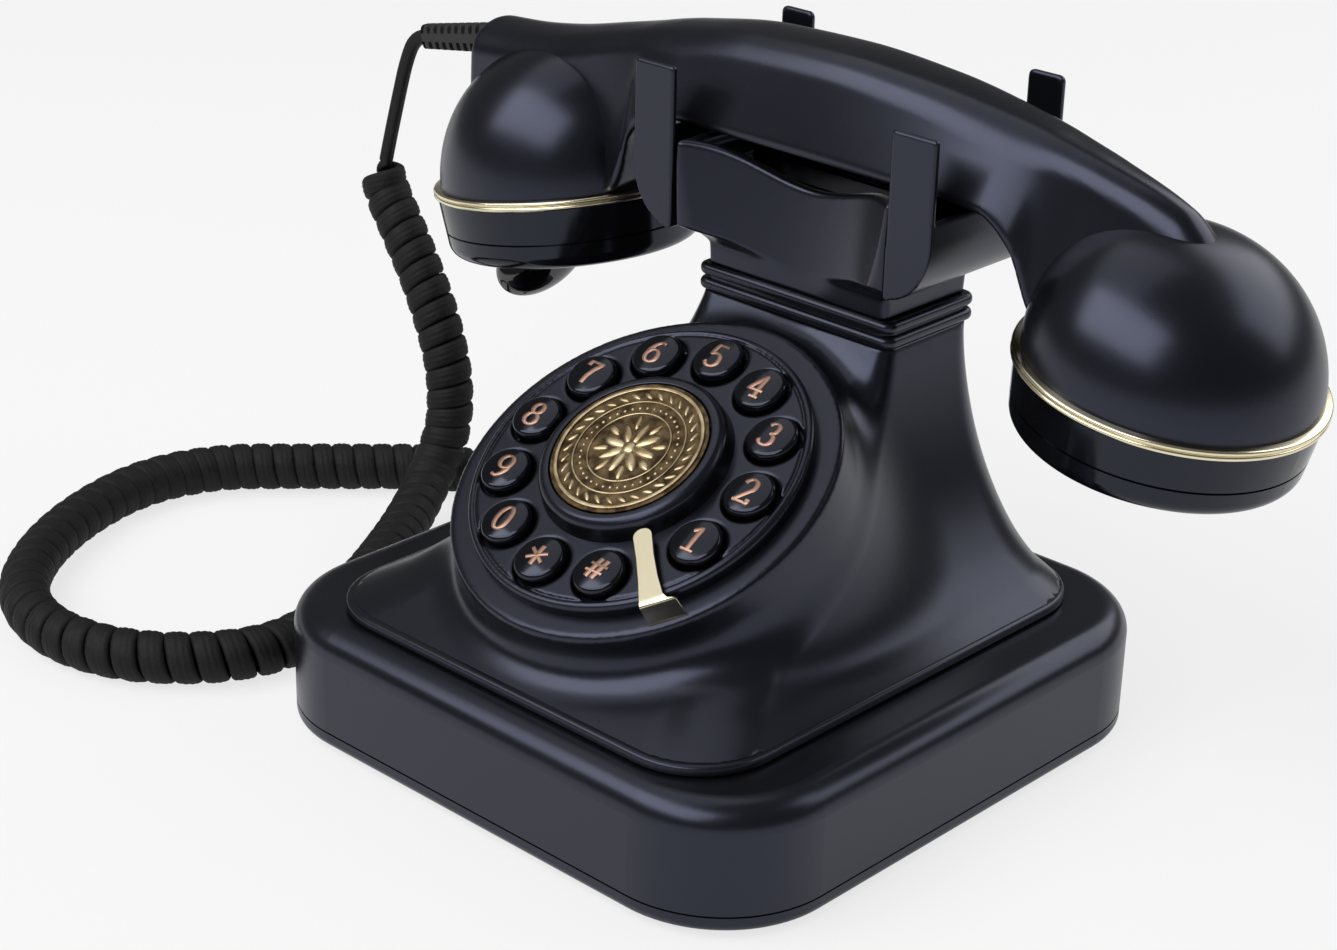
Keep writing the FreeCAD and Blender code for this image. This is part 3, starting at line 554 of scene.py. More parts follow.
def rounded_profile(corners, steps=5):
    """(radius, height) points with each corner (radius, height, round) turned into a curve."""
    result = []
    for index, (r, h, size) in enumerate(corners):
        if size == 0:
            result.append((r, h))
            continue
        here = np.array((r, h))
        back = np.array(corners[index - 1][:2]) - here
        ahead = np.array(corners[index + 1][:2]) - here
        start = here + size * (back / np.linalg.norm(back))
        end = here + size * (ahead / np.linalg.norm(ahead))
        for step in range(steps + 1):
            t = step / steps
            point = (1 - t) ** 2 * start + 2 * t * (1 - t) * here + t ** 2 * end
            result.append(tuple(point))
    return result


def level_ring(width, depth, corner, y, z, corner_steps=10):
    """Points round a level rectangle with round corners."""
    points = []
    for sx, sy, start in ((1, -1, -90), (1, 1, 0), (-1, 1, 90), (-1, -1, 180)):
        for step in range(corner_steps + 1):
            angle = radians(start + 90 * step / corner_steps)
            x = sx * (width / 2 - corner) + corner * cos(angle)
            points.append((x, y + sy * (depth / 2 - corner) + corner * sin(angle), z))
    return points


# Fields of places, which are below zero inside a form

def field_surface(field, low, high, step):
    """The surface where a field is zero, as a shape."""
    axes = [np.arange(a, b + step, step) for a, b in zip(low, high)]
    places = np.stack(np.meshgrid(*axes, indexing="ij"), axis=-1)
    values = field(places)
    inside = values < 0
    cells = tuple(size - 1 for size in values.shape)
    corners = [(i, j, k) for i in (0, 1) for j in (0, 1) for k in (0, 1)]

    def at_corner(array, corner):
        return array[tuple(slice(c, c + n) for c, n in zip(corner, cells))]

    count = sum(at_corner(inside, corner).astype(np.int8) for corner in corners)
    crossed = (count > 0) & (count < len(corners))
    index = np.full(cells, -1, dtype=np.int64)
    index[crossed] = np.arange(crossed.sum())
    total = np.zeros((crossed.sum(), 3))
    weight = np.zeros(crossed.sum())
    for first in corners:
        for axis in range(3):
            if first[axis] == 1:
                continue
            second = tuple(1 if n == axis else first[n] for n in range(3))
            a = at_corner(values, first)[crossed]
            b = at_corner(values, second)[crossed]
            cuts = (a < 0) != (b < 0)
            share = np.where(cuts, a / np.where(cuts, a - b, 1.0), 0.0)
            spot = np.array(first) + share[:, None] * (np.array(second) - np.array(first))
            total += np.where(cuts[:, None], spot, 0.0)
            weight += cuts
    points = np.array(low) + step * (np.argwhere(crossed) + total / weight[:, None])
    faces = []
    for axis in range(3):
        u = (axis + 1) % 3
        v = (axis + 2) % 3
        near = inside[tuple(slice(0, -1) if n == axis else slice(1, -1) for n in range(3))]
        far = inside[tuple(slice(1, None) if n == axis else slice(1, -1) for n in range(3))]
        for forward in (True, False):
            edge = np.argwhere(near & ~far if forward else ~near & far)
            edge[:, u] += 1
            edge[:, v] += 1
            quad = []
            for du, dv in ((0, 0), (1, 0), (1, 1), (0, 1)):
                cell = edge.copy()
                cell[:, u] -= du
                cell[:, v] -= dv
                quad.append(index[cell[:, 0], cell[:, 1], cell[:, 2]])
            quad = np.stack(quad, axis=1)
            faces.append(quad if forward else quad[:, ::-1])
    settle_rounds = 4
    for _ in range(settle_rounds):
        points = points - settle(field, points, step / 2)
    return points.tolist(), np.concatenate(faces).tolist()


def settle(field, points, limit):
    """How far each point moves to lie on the field's zero surface."""
    small = 0.02
    value = field(points)
    slope = np.zeros_like(points)
    for axis in range(3):
        shift = np.zeros(3)
        shift[axis] = small
        slope[:, axis] = (field(points + shift) - field(points - shift)) / (2 * small)
    move = value[:, None] * slope / np.maximum((slope ** 2).sum(1), 1e-6)[:, None]
    size = np.linalg.norm(move, axis=1, keepdims=True)
    return move * np.minimum(1.0, limit / np.maximum(size, 1e-9))


def smooth_min(a, b, size):
    """The union of two fields with a soft blend."""
    near = np.maximum(size - np.abs(a - b), 0.0) / size
    return np.minimum(a, b) - near * near * size / 4


def smooth_max(a, b, size):
    """The intersection of two fields with a round edge."""
    return -smooth_min(-a, -b, size)


def slab(value, low, high):
    """Distance outside a slab between two values."""
    return np.maximum(low - value, value - high)


def level_box(x, y, half, front, rear, corner):
    """Distance from a level rectangle with round corners."""
    qx = np.abs(x) - half + corner
    qy = np.abs(y - (front + rear) / 2) - (rear - front) / 2 + corner
    outside = np.sqrt(np.maximum(qx, 0) ** 2 + np.maximum(qy, 0) ** 2)
    return np.minimum(np.maximum(qx, qy), 0) + outside - corner


def smooth_curve(place, places, values):
    """A monotone cubic through (place, value) pairs."""
    x = np.array(places, dtype=float)
    y = np.array(values, dtype=float)
    run = np.diff(x)
    rise = np.diff(y) / run
    tangent = np.zeros_like(y)
    tangent[0] = rise[0]
    tangent[-1] = rise[-1]
    same = rise[:-1] * rise[1:] > 0
    total = np.where(same, rise[:-1] + rise[1:], 1.0)
    tangent[1:-1] = np.where(same, 2 * rise[:-1] * rise[1:] / total, 0.0)
    place = np.clip(place, x[0], x[-1])
    row = np.clip(np.searchsorted(x, place) - 1, 0, len(run) - 1)
    t = (place - x[row]) / run[row]
    near = (1 + 2 * t) * (1 - t) ** 2 * y[row] + t * (1 - t) ** 2 * run[row] * tangent[row]
    far = t ** 2 * (3 - 2 * t) * y[row + 1] + t ** 2 * (t - 1) * run[row] * tangent[row + 1]
    return near + far


# Lines

def run_lengths(line):
    """Distance along a line to each of its points."""
    return np.concatenate([[0.0], np.cumsum(np.linalg.norm(np.diff(line, axis=0), axis=1))])


def sampled(distance, run, rows):
    """Rows of three values at distances along a line."""
    return np.stack([np.interp(distance, run, rows[:, axis]) for axis in range(3)], axis=1)


def unit(rows):
    """Rows scaled to a length of one."""
    return rows / np.linalg.norm(rows, axis=1, keepdims=True)


def route_line(points):
    """Places along the smooth line that a route's points control."""
    curve = bpy.data.curves.new("route", "CURVE")
    curve.dimensions = "3D"
    curve.resolution_u = 24
    spline = curve.splines.new("NURBS")
    spline.points.add(len(points) - 1)
    for spot, point in zip(spline.points, points):
        spot.co = (*point, 1.0)
    spline.order_u = 3
    spline.use_endpoint_u = True
    holder = new_object("route", curve)
    bpy.context.view_layer.update()
    mesh = bpy.data.meshes.new_from_object(holder.evaluated_get(bpy.context.evaluated_depsgraph_get()))
    line = np.array([vertex.co for vertex in mesh.vertices])
    bpy.data.objects.remove(holder)
    bpy.data.curves.remove(curve)
    bpy.data.meshes.remove(mesh)
    return line


def carried_frames(line):
    """Tangents, and sides carried along a line without twist."""
    tangent = unit(np.gradient(line, axis=0))
    sides = np.zeros_like(line)
    side = np.array((0.0, 1.0, 0.0))
    for index, way in enumerate(tangent):
        side = side - way * side.dot(way)
        side /= np.linalg.norm(side)
        sides[index] = side
    return tangent, sides


# Cord

def ribbon_section():
    """A flat cord's outline with ribs and a round back, as (width, thickness) points for a width of one."""
    half = ribbon_thickness / 2
    rib = 1.0 / ribbon_ribs
    points = []
    for index in range(ribbon_ribs):
        centre = -0.5 + rib * (index + 0.5)
        for share in (-0.5, -0.25, 0.0, 0.25):
            place = centre + share * rib
            dent = ribbon_dent * (2 * share) ** 2 + ribbon_crown * (2 * place) ** 4
            points.append((place, half - dent))
    points.append((0.5, half - ribbon_crown - ribbon_dent))
    return points + [(0.5, ribbon_back - half), (-0.5, ribbon_back - half)]


def make_cord(boot):
    """The whole handset cord as one ribbed flat cord, coiled between its two leads."""
    line = route_line(lead_points + coil_points + base_lead_points)
    run = run_lengths(line)
    distance = np.linspace(0.0, run[-1], coil_line_steps)
    centre = sampled(distance, run, line)
    ends = []
    for point in (lead_points[-1], coil_points[-1]):
        ends.append(distance[np.linalg.norm(centre - np.array(point), axis=1).argmin()])
    coil_start = ends[0] - coil_early
    coil_end = ends[1]
    tangent, side = carried_frames(centre)
    other = np.cross(tangent, side)
    ramp_length = coil_ramp_turns * coil_pitches[0][1]
    coiled = np.clip(distance, coil_start, coil_end) - coil_start
    pitch = np.interp(coiled, *zip(*coil_pitches))
    turns = np.concatenate([[0.0], np.cumsum(np.diff(coiled) / pitch[1:])])
    angle = 2 * pi * turns + pi
    ramp = np.clip(np.minimum(distance - coil_start, coil_end - distance) / ramp_length, 0, 1)
    ramp = ramp * ramp * (3 - 2 * ramp)
    reach = (coil_radius - ribbon_thickness / 2) * ramp
    outward = np.cos(angle)[:, None] * side + np.sin(angle)[:, None] * other
    winding = centre + reach[:, None] * outward
    width = lead_width + (ribbon_fill * pitch - lead_width) * ramp
    ribbon(winding, outward, width)


def ribbon(winding, outward, width):
    """Sweep the ribbed section along a line, with its thickness facing outward."""
    run = run_lengths(winding)
    turn = 2 * pi * (coil_radius - ribbon_thickness / 2)
    distance = np.linspace(0.0, run[-1], int(run[-1] / turn * coil_turn_steps))
    path = sampled(distance, run, winding)
    face = sampled(distance, run, outward)
    spread = np.interp(distance, run, width)
    way = unit(np.gradient(path, axis=0))
    face = unit(face - way * (face * way).sum(1, keepdims=True))
    across = np.cross(way, face)
    section = ribbon_section()
    rings = []
    for place, wide, high, size in zip(path, across, face, spread):
        rings.append([tuple(place + a * size * wide + b * high) for a, b in section])
    piece = new_piece("handset_cord", loft(rings), "cord_black")
    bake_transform(piece)
    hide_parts("handset_lead", "curly_cord", "base_lead")


# Housing

def dial_axes(places):
    """Distance from the dial's axis and height above its face."""
    y = places[..., 1] - dial_y
    z = places[..., 2] - dial_z
    v = y * cos(dial_tilt) + z * sin(dial_tilt)
    w = -y * sin(dial_tilt) + z * cos(dial_tilt)
    return np.sqrt(places[..., 0] ** 2 + v ** 2), w


def level_field(places):
    """Distance from the housing's level section at each height."""
    x, y, z = np.moveaxis(places, -1, 0)
    low = plinth_top + step_height
    rise = np.clip((z - low) / (neck_top - low), 0, 1)
    wide = smooth_curve(rise, housing_rises, housing_widths)
    ahead = smooth_curve(rise, housing_rises, housing_fronts)
    behind = smooth_curve(rise, housing_rises, housing_rears)
    half = neck_half_width + wide * (step_width / 2 - neck_half_width)
    front = neck_front + ahead * (step_y - step_depth / 2 - neck_front)
    rear = neck_rear + behind * (step_y + step_depth / 2 - neck_rear)
    corner = neck_corner + np.sqrt(wide) * (step_corner - neck_corner)
    return level_box(x, y, half, front, rear, corner)


def housing_form(places):
    """The swept housing joined softly with the dial's boss."""
    reach = 0.5
    up = np.array((0.0, 0.0, reach))
    steep = (level_field(places + up) - level_field(places - up)) / (2 * reach)
    sweep = level_field(places) / np.sqrt(1 + steep ** 2)
    radius, w = dial_axes(places)
    flare = boss_radius + boss_flare * np.maximum(-w - boss_drop, 0)
    boss = smooth_max(radius - flare, w + boss_drop, boss_edge)
    return smooth_min(sweep, boss, boss_blend)


def housing_field(places):
    """The housing as a shell, open below and under the dial."""
    z = places[..., 2]
    outer = housing_form(places)
    radius, w = dial_axes(places)
    well = np.maximum(radius - key_plate_radius + 2 * housing_wall, -w - dial_room_depth)
    ends = slab(z, plinth_top + step_height, neck_top)
    return np.maximum.reduce([outer, -(outer + housing_wall), ends, -well])


def make_housing():
    """The swept shell, and the step at its foot."""
    margin = 2.0
    side = step_width / 2 + margin
    low = (-side, step_y - step_depth / 2 - margin, plinth_top + step_height - margin / 2)
    high = (side, step_y + step_depth / 2 + margin, neck_top + margin)
    shell = field_surface(housing_field, low, high, coarse_grid)
    add_piece("housing_shell", shell, "base", "satin_black", "upper_housing")
    rings = []
    for inset, up in skirt_profile:
        width = step_width - 2 * inset
        depth = step_depth - 2 * inset
        rings.append(level_ring(width, depth, step_corner - inset, step_y, plinth_top + up))
    rings.append(rings[0])
    add_piece("housing_skirt", loft(rings, closed_ends=False), "base", "satin_black", sharp=35)


# Dial

def key_centre(index):
    """Where a key stands on the dial."""
    angle = radians(first_key_angle + index * key_pitch)
    return key_circle_radius * cos(angle), key_circle_radius * sin(angle)


def key_place(point, index):
    """A point of a key's own frame, in the telephone's frame."""
    cx, cy = key_centre(index)
    return dial_place((cx + point[0], cy + point[1], point[2]))


def key_crown(distance):
    """Height of a key's top at a distance from its middle."""
    return key_proud - key_fall * (distance / key_fall_reach) ** 2


def plate_field(places):
    """The dial's plate in its own frame, with a round edge, a groove and twelve wells."""
    x, y, w = np.moveaxis(places, -1, 0)
    radius = np.sqrt(x * x + y * y)
    plate = smooth_max(radius - key_plate_radius, w, key_plate_edge)
    groove = np.abs(radius - key_plate_radius + groove_inset) - groove_half
    plate = np.maximum(plate, -np.maximum(groove, -w - groove_depth))
    for index in range(len(key_names)):
        cx, cy = key_centre(index)
        well = key_well_radius - np.sqrt((x - cx) ** 2 + (y - cy) ** 2)
        plate = smooth_max(plate, well, key_well_edge)
    return np.maximum(plate, -key_plate_thickness - w)


def make_plate():
    """The plate with its wells, and the drum in its middle."""
    side_room = 1.0
    low_room = 0.7
    high_room = 0.8
    reach = key_plate_radius + side_room
    low = (-reach, -reach, -key_plate_thickness - low_room)
    plate = field_surface(plate_field, low, (reach, reach, high_room), fine_grid)
    add_piece("dial_plate", moved(plate, dial_place), "base", "satin_black", "key_plate")
    foot = drum_radius + drum_spread
    corners = [(drum_inner, drum_seat, 0), (drum_inner, drum_height, 0.3), (drum_land, drum_height, 0.5),
               (drum_radius, drum_shoulder, 0.8), (foot, 0.0, 0.3), (foot, drum_bottom, 0),
               (drum_inner, drum_bottom, 0), (drum_inner, drum_seat, 0)]
    drum = lathe(rounded_profile(corners), dial_around, closed_ends=False)
    add_piece("dial_drum", moved(drum, dial_place), "base", "satin_black", sharp=40)


def make_keys():
    """Twelve keys, each with its sign."""
    rim = [(key_radius, key_bottom), (key_radius, key_shoulder)]
    for step in range(1, key_round_steps + 1):
        angle = pi / 2 * step / key_round_steps
        radius = key_radius - key_round + key_round * cos(angle)
        rim.append((radius, key_shoulder + key_round_height * sin(angle)))
    rim += [(distance, key_crown(distance)) for distance in key_crown_places]
    for index, name in enumerate(key_names):
        body = "key_" + name
        button = moved(lathe(rim, key_around), key_place, index)
        add_piece("button_" + name, button, body, "gloss_black", body)
        sign = moved(numeral(name), key_place, index)
        add_piece("numeral_" + name, sign, body, "gloss_black", sharp=50, look="copper")


def arc(cx, cy, rx, ry, start, end, steps=14):
    """Points along an ellipse, angles in degrees."""
    angles = [radians(start + (end - start) * step / steps) for step in range(steps + 1)]
    return [(cx + rx * cos(angle), cy + ry * sin(angle)) for angle in angles]


# Strokes of each sign in a box one wide and one and a half high
sign_strokes = {
    "1": [[(0.22, 1.22), (0.58, 1.5), (0.58, 0.0)], [(0.22, 0.0), (0.94, 0.0)]],
    "2": [arc(0.5, 1.08, 0.38, 0.42, 165, -30) + [(0.12, 0.02)], [(0.08, 0.0), (0.95, 0.0), (0.95, 0.22)]],
    "3": [arc(0.46, 1.14, 0.34, 0.36, 150, -80), arc(0.46, 0.4, 0.42, 0.4, 80, -155)],
    "4": [[(0.7, 0.0), (0.7, 1.5), (0.06, 0.44), (0.98, 0.44)], [(0.46, 0.0), (0.94, 0.0)]],
    "5": [[(0.88, 1.5), (0.24, 1.5), (0.18, 0.78)], arc(0.47, 0.46, 0.43, 0.46, 128, -150)],
    "6": [arc(0.5, 0.43, 0.4, 0.43, 0, 360, 24),
          [(0.1, 0.46), (0.14, 0.85), (0.32, 1.24), (0.6, 1.46), (0.84, 1.4)]],
    "7": [[(0.1, 1.22), (0.12, 1.5), (0.94, 1.5), (0.66, 0.98), (0.5, 0.5), (0.46, 0.0)]],
    "8": [arc(0.5, 1.13, 0.32, 0.35, 0, 360, 24), arc(0.5, 0.39, 0.41, 0.39, 0, 360, 24)],
    "9": [arc(0.5, 1.07, 0.4, 0.43, 0, 360, 24),
          [(0.9, 1.04), (0.86, 0.65), (0.68, 0.26), (0.4, 0.04), (0.16, 0.1)]],
    "0": [arc(0.5, 0.75, 0.4, 0.75, 0, 360, 28)],
    "star": [[(0.5, 0.15), (0.5, 1.35)], [(-0.02, 0.45), (1.02, 1.05)], [(-0.02, 1.05), (1.02, 0.45)]],
    "hash": [[(0.2, 0.15), (0.42, 1.35)], [(0.62, 0.15), (0.84, 1.35)], [(-0.04, 0.52), (1.0, 0.52)],
             [(0.04, 0.98), (1.08, 0.98)]],
}


def numeral(name):
    """Raised strokes that follow a key's crown."""
    strokes = []
    for stroke in sign_strokes[name]:
        strokes.append(raised_stroke([(sign_width * (x - 0.5), sign_width * (y - 0.75)) for x, y in stroke]))
    return joined(strokes)


def raised_stroke(flat):
    """One stroke, thicker where it runs up and down."""
    line = np.array(flat)
    dense = [line[0]]
    for first, second in zip(line, line[1:]):
        count = max(1, int(np.linalg.norm(second - first) / sign_spacing))
        dense += [first + (second - first) * (step + 1) / count for step in range(count)]
    line = np.array(dense)
    way = unit(np.gradient(line, axis=0))
    line[0] -= way[0] * sign_thin / 2
    line[-1] += way[-1] * sign_thin / 2
    section = [(-1.0, -sign_sink), (-1.0, sign_edge), (-sign_flat, sign_height),
               (sign_flat, sign_height), (1.0, sign_edge), (1.0, -sign_sink)]
    rings = []
    for (x, y), (dx, dy) in zip(line, way):
        ring = []
        stroke = sign_thin + (sign_thick - sign_thin) * abs(dy) ** sign_swell
        for across, up in section:
            px = x + across * stroke * dy
            py = y - across * stroke * dx
            ring.append((px, py, key_crown(hypot(px, py)) + up))
        rings.append(ring)
    return loft(rings)


def stop_place(point):
    """A point of the finger stop's own frame, in the telephone's frame."""
    r, a, w = point
    c, s = cos(stop_angle), sin(stop_angle)
    return dial_place((r * c - a * s, r * s + a * c, w))


def make_stop():
    """The gold stop: a strip over the plate, folded down to the boss."""
    tip = stop_strip[0][0]
    under = stop_top - stop_thickness
    strip = []
    for step in range(stop_tip_steps):
        angle = pi / 2 * step / stop_tip_steps
        side = stop_tip_half * sin(angle)
        strip.append((tip - stop_tip_half * cos(angle), -side, side))
    rings = []
    for r, low, high in strip + stop_strip:
        rings.append([(r, low, under), (r, high, under), (r, high, stop_top), (r, low, stop_top)])
    for out, down, high in stop_fold:
        outer = stop_radius + out
        inner = outer - stop_thickness
        w = stop_top - down
        lower = min(w, under)
        rings.append([(inner, stop_low, lower), (inner, high, lower), (outer, high, w), (outer, stop_low, w)])
    shape = moved(loft(rings), stop_place)
    piece = add_piece("stop_strip", shape, "base", "polished_gold", "finger_stop", sharp=30)
    bevel = piece.modifiers.new("bevel", "BEVEL")
    bevel.width = stop_bevel * MM
    bevel.segments = 2
    bevel.limit_method = "ANGLE"


def make_medallion():
    """A brass plate with rings, a rosette and a plain leaf border."""
    corners = [(medallion_pole, medallion_bottom, 0), (medallion_radius, medallion_bottom, medallion_edge),
               (medallion_radius, medallion_floor, 0), (medallion_pole, medallion_floor, 0)]
    plate = moved(lathe(rounded_profile(corners), dial_around), dial_place)
    add_piece("medallion_plate", plate, "medallion", "antique_brass", "medallion", sharp=40)
    shapes = []
    base = medallion_floor - relief_sink
    for inner, outer, high in relief_rings:
        top = medallion_floor + high
        ring = [(inner, base, 0), (inner, top, relief_edge), (outer, top, relief_edge),
                (outer, base, 0), (inner, base, 0)]
        shapes.append(lathe(rounded_profile(ring, 3), dial_around, closed_ends=False))
    for count, first, distance, long, wide, high, lean in relief_circles:
        for index in range(count):
            angle = 2 * pi / count * (index + first)
            shapes.append(leaf(distance, angle, long, wide, high, radians(lean)))
    relief = moved(joined(shapes), dial_place)
    add_piece("medallion_relief", relief, "medallion", "antique_brass", sharp=45, look="brass_high")


def leaf(distance, angle, long, wide, high, lean):
    """A low round mound on the medallion."""
    cx = distance * cos(angle)
    cy = distance * sin(angle)
    c, s = cos(angle + lean), sin(angle + lean)
    base = medallion_floor - leaf_sink
    rings = []
    for row in range(leaf_rows):
        share = cos(pi / 2 * row / leaf_rows)
        height = base + high * sin(pi / 2 * row / leaf_rows)
        ring = []
        for t in turn_angles(leaf_around):
            a = long * share * cos(t)
            b = wide * share * sin(t)
            ring.append((cx + a * c - b * s, cy + a * s + b * c, height))
        rings.append(ring)
    points, faces = loft(rings, closed_ends=False)
    points.append((cx, cy, base + high))
    last = (leaf_rows - 1) * leaf_around
    for step in range(leaf_around):
        faces.append((last + step, last + (step + 1) % leaf_around, len(points) - 1))
    faces.append(tuple(reversed(range(leaf_around))))
    return points, faces


# Handset

def grip_field(places):
    """The grip: a trapezoid with round edges, swept along X."""
    x, y, z = places[..., 0], places[..., 1] - handset_y, places[..., 2]
    low = smooth_curve(x, low_places, grip_lows)
    crown = smooth_curve(x, crown_places, grip_crowns)
    half = smooth_curve(np.abs(x), grip_places, grip_halves)
    ridge = smooth_curve(x, ridge_places, grip_ridges)
    reach = 0.4
    steep = smooth_curve(x + reach, low_places, grip_lows) - smooth_curve(x - reach, low_places, grip_lows)
    under = (low - z) / np.sqrt(1 + (steep / (2 * reach)) ** 2)
    bow = grip_bow + (tail_bow - grip_bow) * np.clip((x - tail_start) / (tail_x - tail_start), 0, 1)
    tall = np.maximum(crown - bow - low, grip_least)
    slant = np.arctan2(half - ridge, tall)
    side = (np.abs(y) - half) * np.cos(slant) + (z - low) * np.sin(slant)
    top = z - crown + bow * (y / ridge) ** 2
    body = smooth_max(smooth_max(side, top, grip_edge), under, grip_low_edge)
    body = smooth_max(body, tail_x - x, tail_edge)
    return np.maximum(body, x - grip_end)


def make_handset():
    """The grip, and a domed cup on each ring with a crisp crease between them."""
    margin = 2.0
    low = (tail_x - margin, handset_y - grip_room, grip_lows[-1] - margin)
    high = (grip_end + margin, handset_y + grip_room, max(grip_crowns) + margin)
    grip = field_surface(grip_field, low, high, coarse_grid)
    add_piece("handset_body", grip, "handset", "satin_black", "handset_shell")
    for name, side in (("ear_dome", 1), ("mouth_dome", -1)):
        rings = []
        for row in range(-1, cup_rows):
            rise = pi / 2 * max(row, 0) / (cup_rows - cup_open)
            radius = cup_radius * cos(rise) ** (2 / cup_power)
            up = sin(rise) ** (2 / cup_power)
            height = cup_heights[side] * up + ring_height / 2 - (cup_foot if row < 0 else 0.0)
            ring = []
            for angle in turn_angles(cup_around):
                u = radius * cos(angle) - side * cup_lean * up
                ring.append(cup_place((u, radius * sin(angle), height), side))
            rings.append(ring)
        add_piece(name, loft(rings), "handset", "satin_black", sharp=50)


def make_boot():
    """The ribbed strain relief, with an unbroken spine along its front and rear."""
    start = np.array(boot_start)
    way = np.array(boot_end) - start
    length = np.linalg.norm(way)
    way = way / length
    across = np.array((0.0, 1.0, 0.0))
    upward = np.cross(across, way)
    pitch = length / boot_ribs
    stations = [(-boot_sink, True), (0.0, True)]
    for index in range(boot_ribs):
        stations += [(index * pitch + share * pitch, full) for share, full in rib_shares]
    stations.append((length - boot_short, True))
    rings = []
    for distance, full in stations:
        taper = 1.0 - boot_taper * max(distance, 0.0) / length
        ring = []
        for angle in turn_angles(boot_around):
            c, s = cos(angle), sin(angle)
            square = 1.0 / (abs(c) ** boot_power + abs(s) ** boot_power) ** (1 / boot_power)
            deep = 1.0 if full or abs(s) < boot_spine else boot_groove
            wide = boot_half_width * taper * deep * square * c
            high = boot_half_height * taper * deep * square * s
            ring.append(tuple(start + way * distance + across * wide + upward * high))
        rings.append(ring)
    return add_piece("cord_boot", loft(rings), "handset", "black_rubber", "strain_relief", sharp=35)


def make_rings():
    """Gold rings with two beads, between each cup and its cap."""
    half = ring_height / 2
    profile = [(ring_inner, -half), (ring_radius, -half)]
    for centre in (-half / 2, half / 2):
        for step in range(ring_bead_steps + 1):
            angle = pi * (step / ring_bead_steps - 0.5)
            profile.append((ring_radius + ring_bead * cos(angle), centre + half / 2 * sin(angle)))
    profile += [(ring_inner, half), (ring_inner, -half)]
    for name, side in (("ear_ring", 1), ("mouth_ring", -1)):
        band = moved(lathe(profile, ring_around, closed_ends=False), cup_place, side)
        add_piece(name + "_band", band, "handset", "polished_gold", name, sharp=40)


def make_spout():
    """A smooth lip under the left cap, leaning forward."""
    rings = []
    for row in range(spout_rows + 1):
        angle = pi / 2 * (1 - row / spout_rows) * spout_close
        share = cos(angle)
        down = sin(angle)
        ring = []
        for turn in turn_angles(spout_around):
            u = spout_width / 2 * share * cos(turn)
            v = spout_length / 2 * share * sin(turn) - spout_ahead - spout_lean * down
            ring.append(cup_place((u, v, -spout_top - spout_height * down), -1))
        rings.append(ring)
    lip = loft(rings)
    add_piece("mouth_lip", lip, "handset", "gloss_black", "mouth_spout", sharp=60, look="lip_black")


# Head and fork

def head_top_height(x):
    """Height of the head's hollow rim across its width."""
    share = np.clip(np.abs(x) / head_halves[-1], 0, 1)
    dip = (1 + np.cos(pi * share)) / 2
    return head_top - head_sag * dip


def head_scoop(places, facing, low, high):
    """Depth in an upright round hollow of the head's front or rear, which leans with the height."""
    radius = (head_halves[-1] ** 2 + head_hollow ** 2) / (2 * head_hollow)
    share = np.clip((places[..., 2] - collar_top) / (head_top - collar_top), 0, 1)
    middle = low + share * (high - low) + facing * radius
    return radius - np.sqrt(places[..., 0] ** 2 + (places[..., 1] - middle) ** 2)


def head_field(places):
    """The head block: a flared box with horned corners, a hollow rim and an open inside."""
    x, y, z = np.moveaxis(places, -1, 0)
    half = smooth_curve(z, head_heights, head_halves)
    front = smooth_curve(z, head_heights, head_fronts)
    rear = smooth_curve(z, head_heights, head_rears)
    wall = level_box(x, y, half, front, rear, head_corner)
    for facing, low, high in head_scoops:
        wall = smooth_max(wall, head_scoop(places, facing, low, high), head_edge)
    height = head_top_height(x)
    solid = smooth_max(wall, z - height, head_edge)
    recess = smooth_max(wall + head_rim, height - head_recess - z, head_edge)
    solid = smooth_max(solid, -recess, head_edge)
    room = np.maximum(np.abs(x) - head_room_half, slab(y, head_room_front, head_room_rear))
    room = np.maximum(room, head_floor - z)
    slot = np.maximum(np.abs(y - fork_y) - crossbar_half, crossbar_low - z)
    return np.maximum.reduce([solid, -room, -slot, collar_top - z])


def make_head():
    """The block under the handset."""
    head = field_surface(head_field, *head_box, head_grid)
    add_piece("head_shell", head, "base", "satin_black", "head_block")


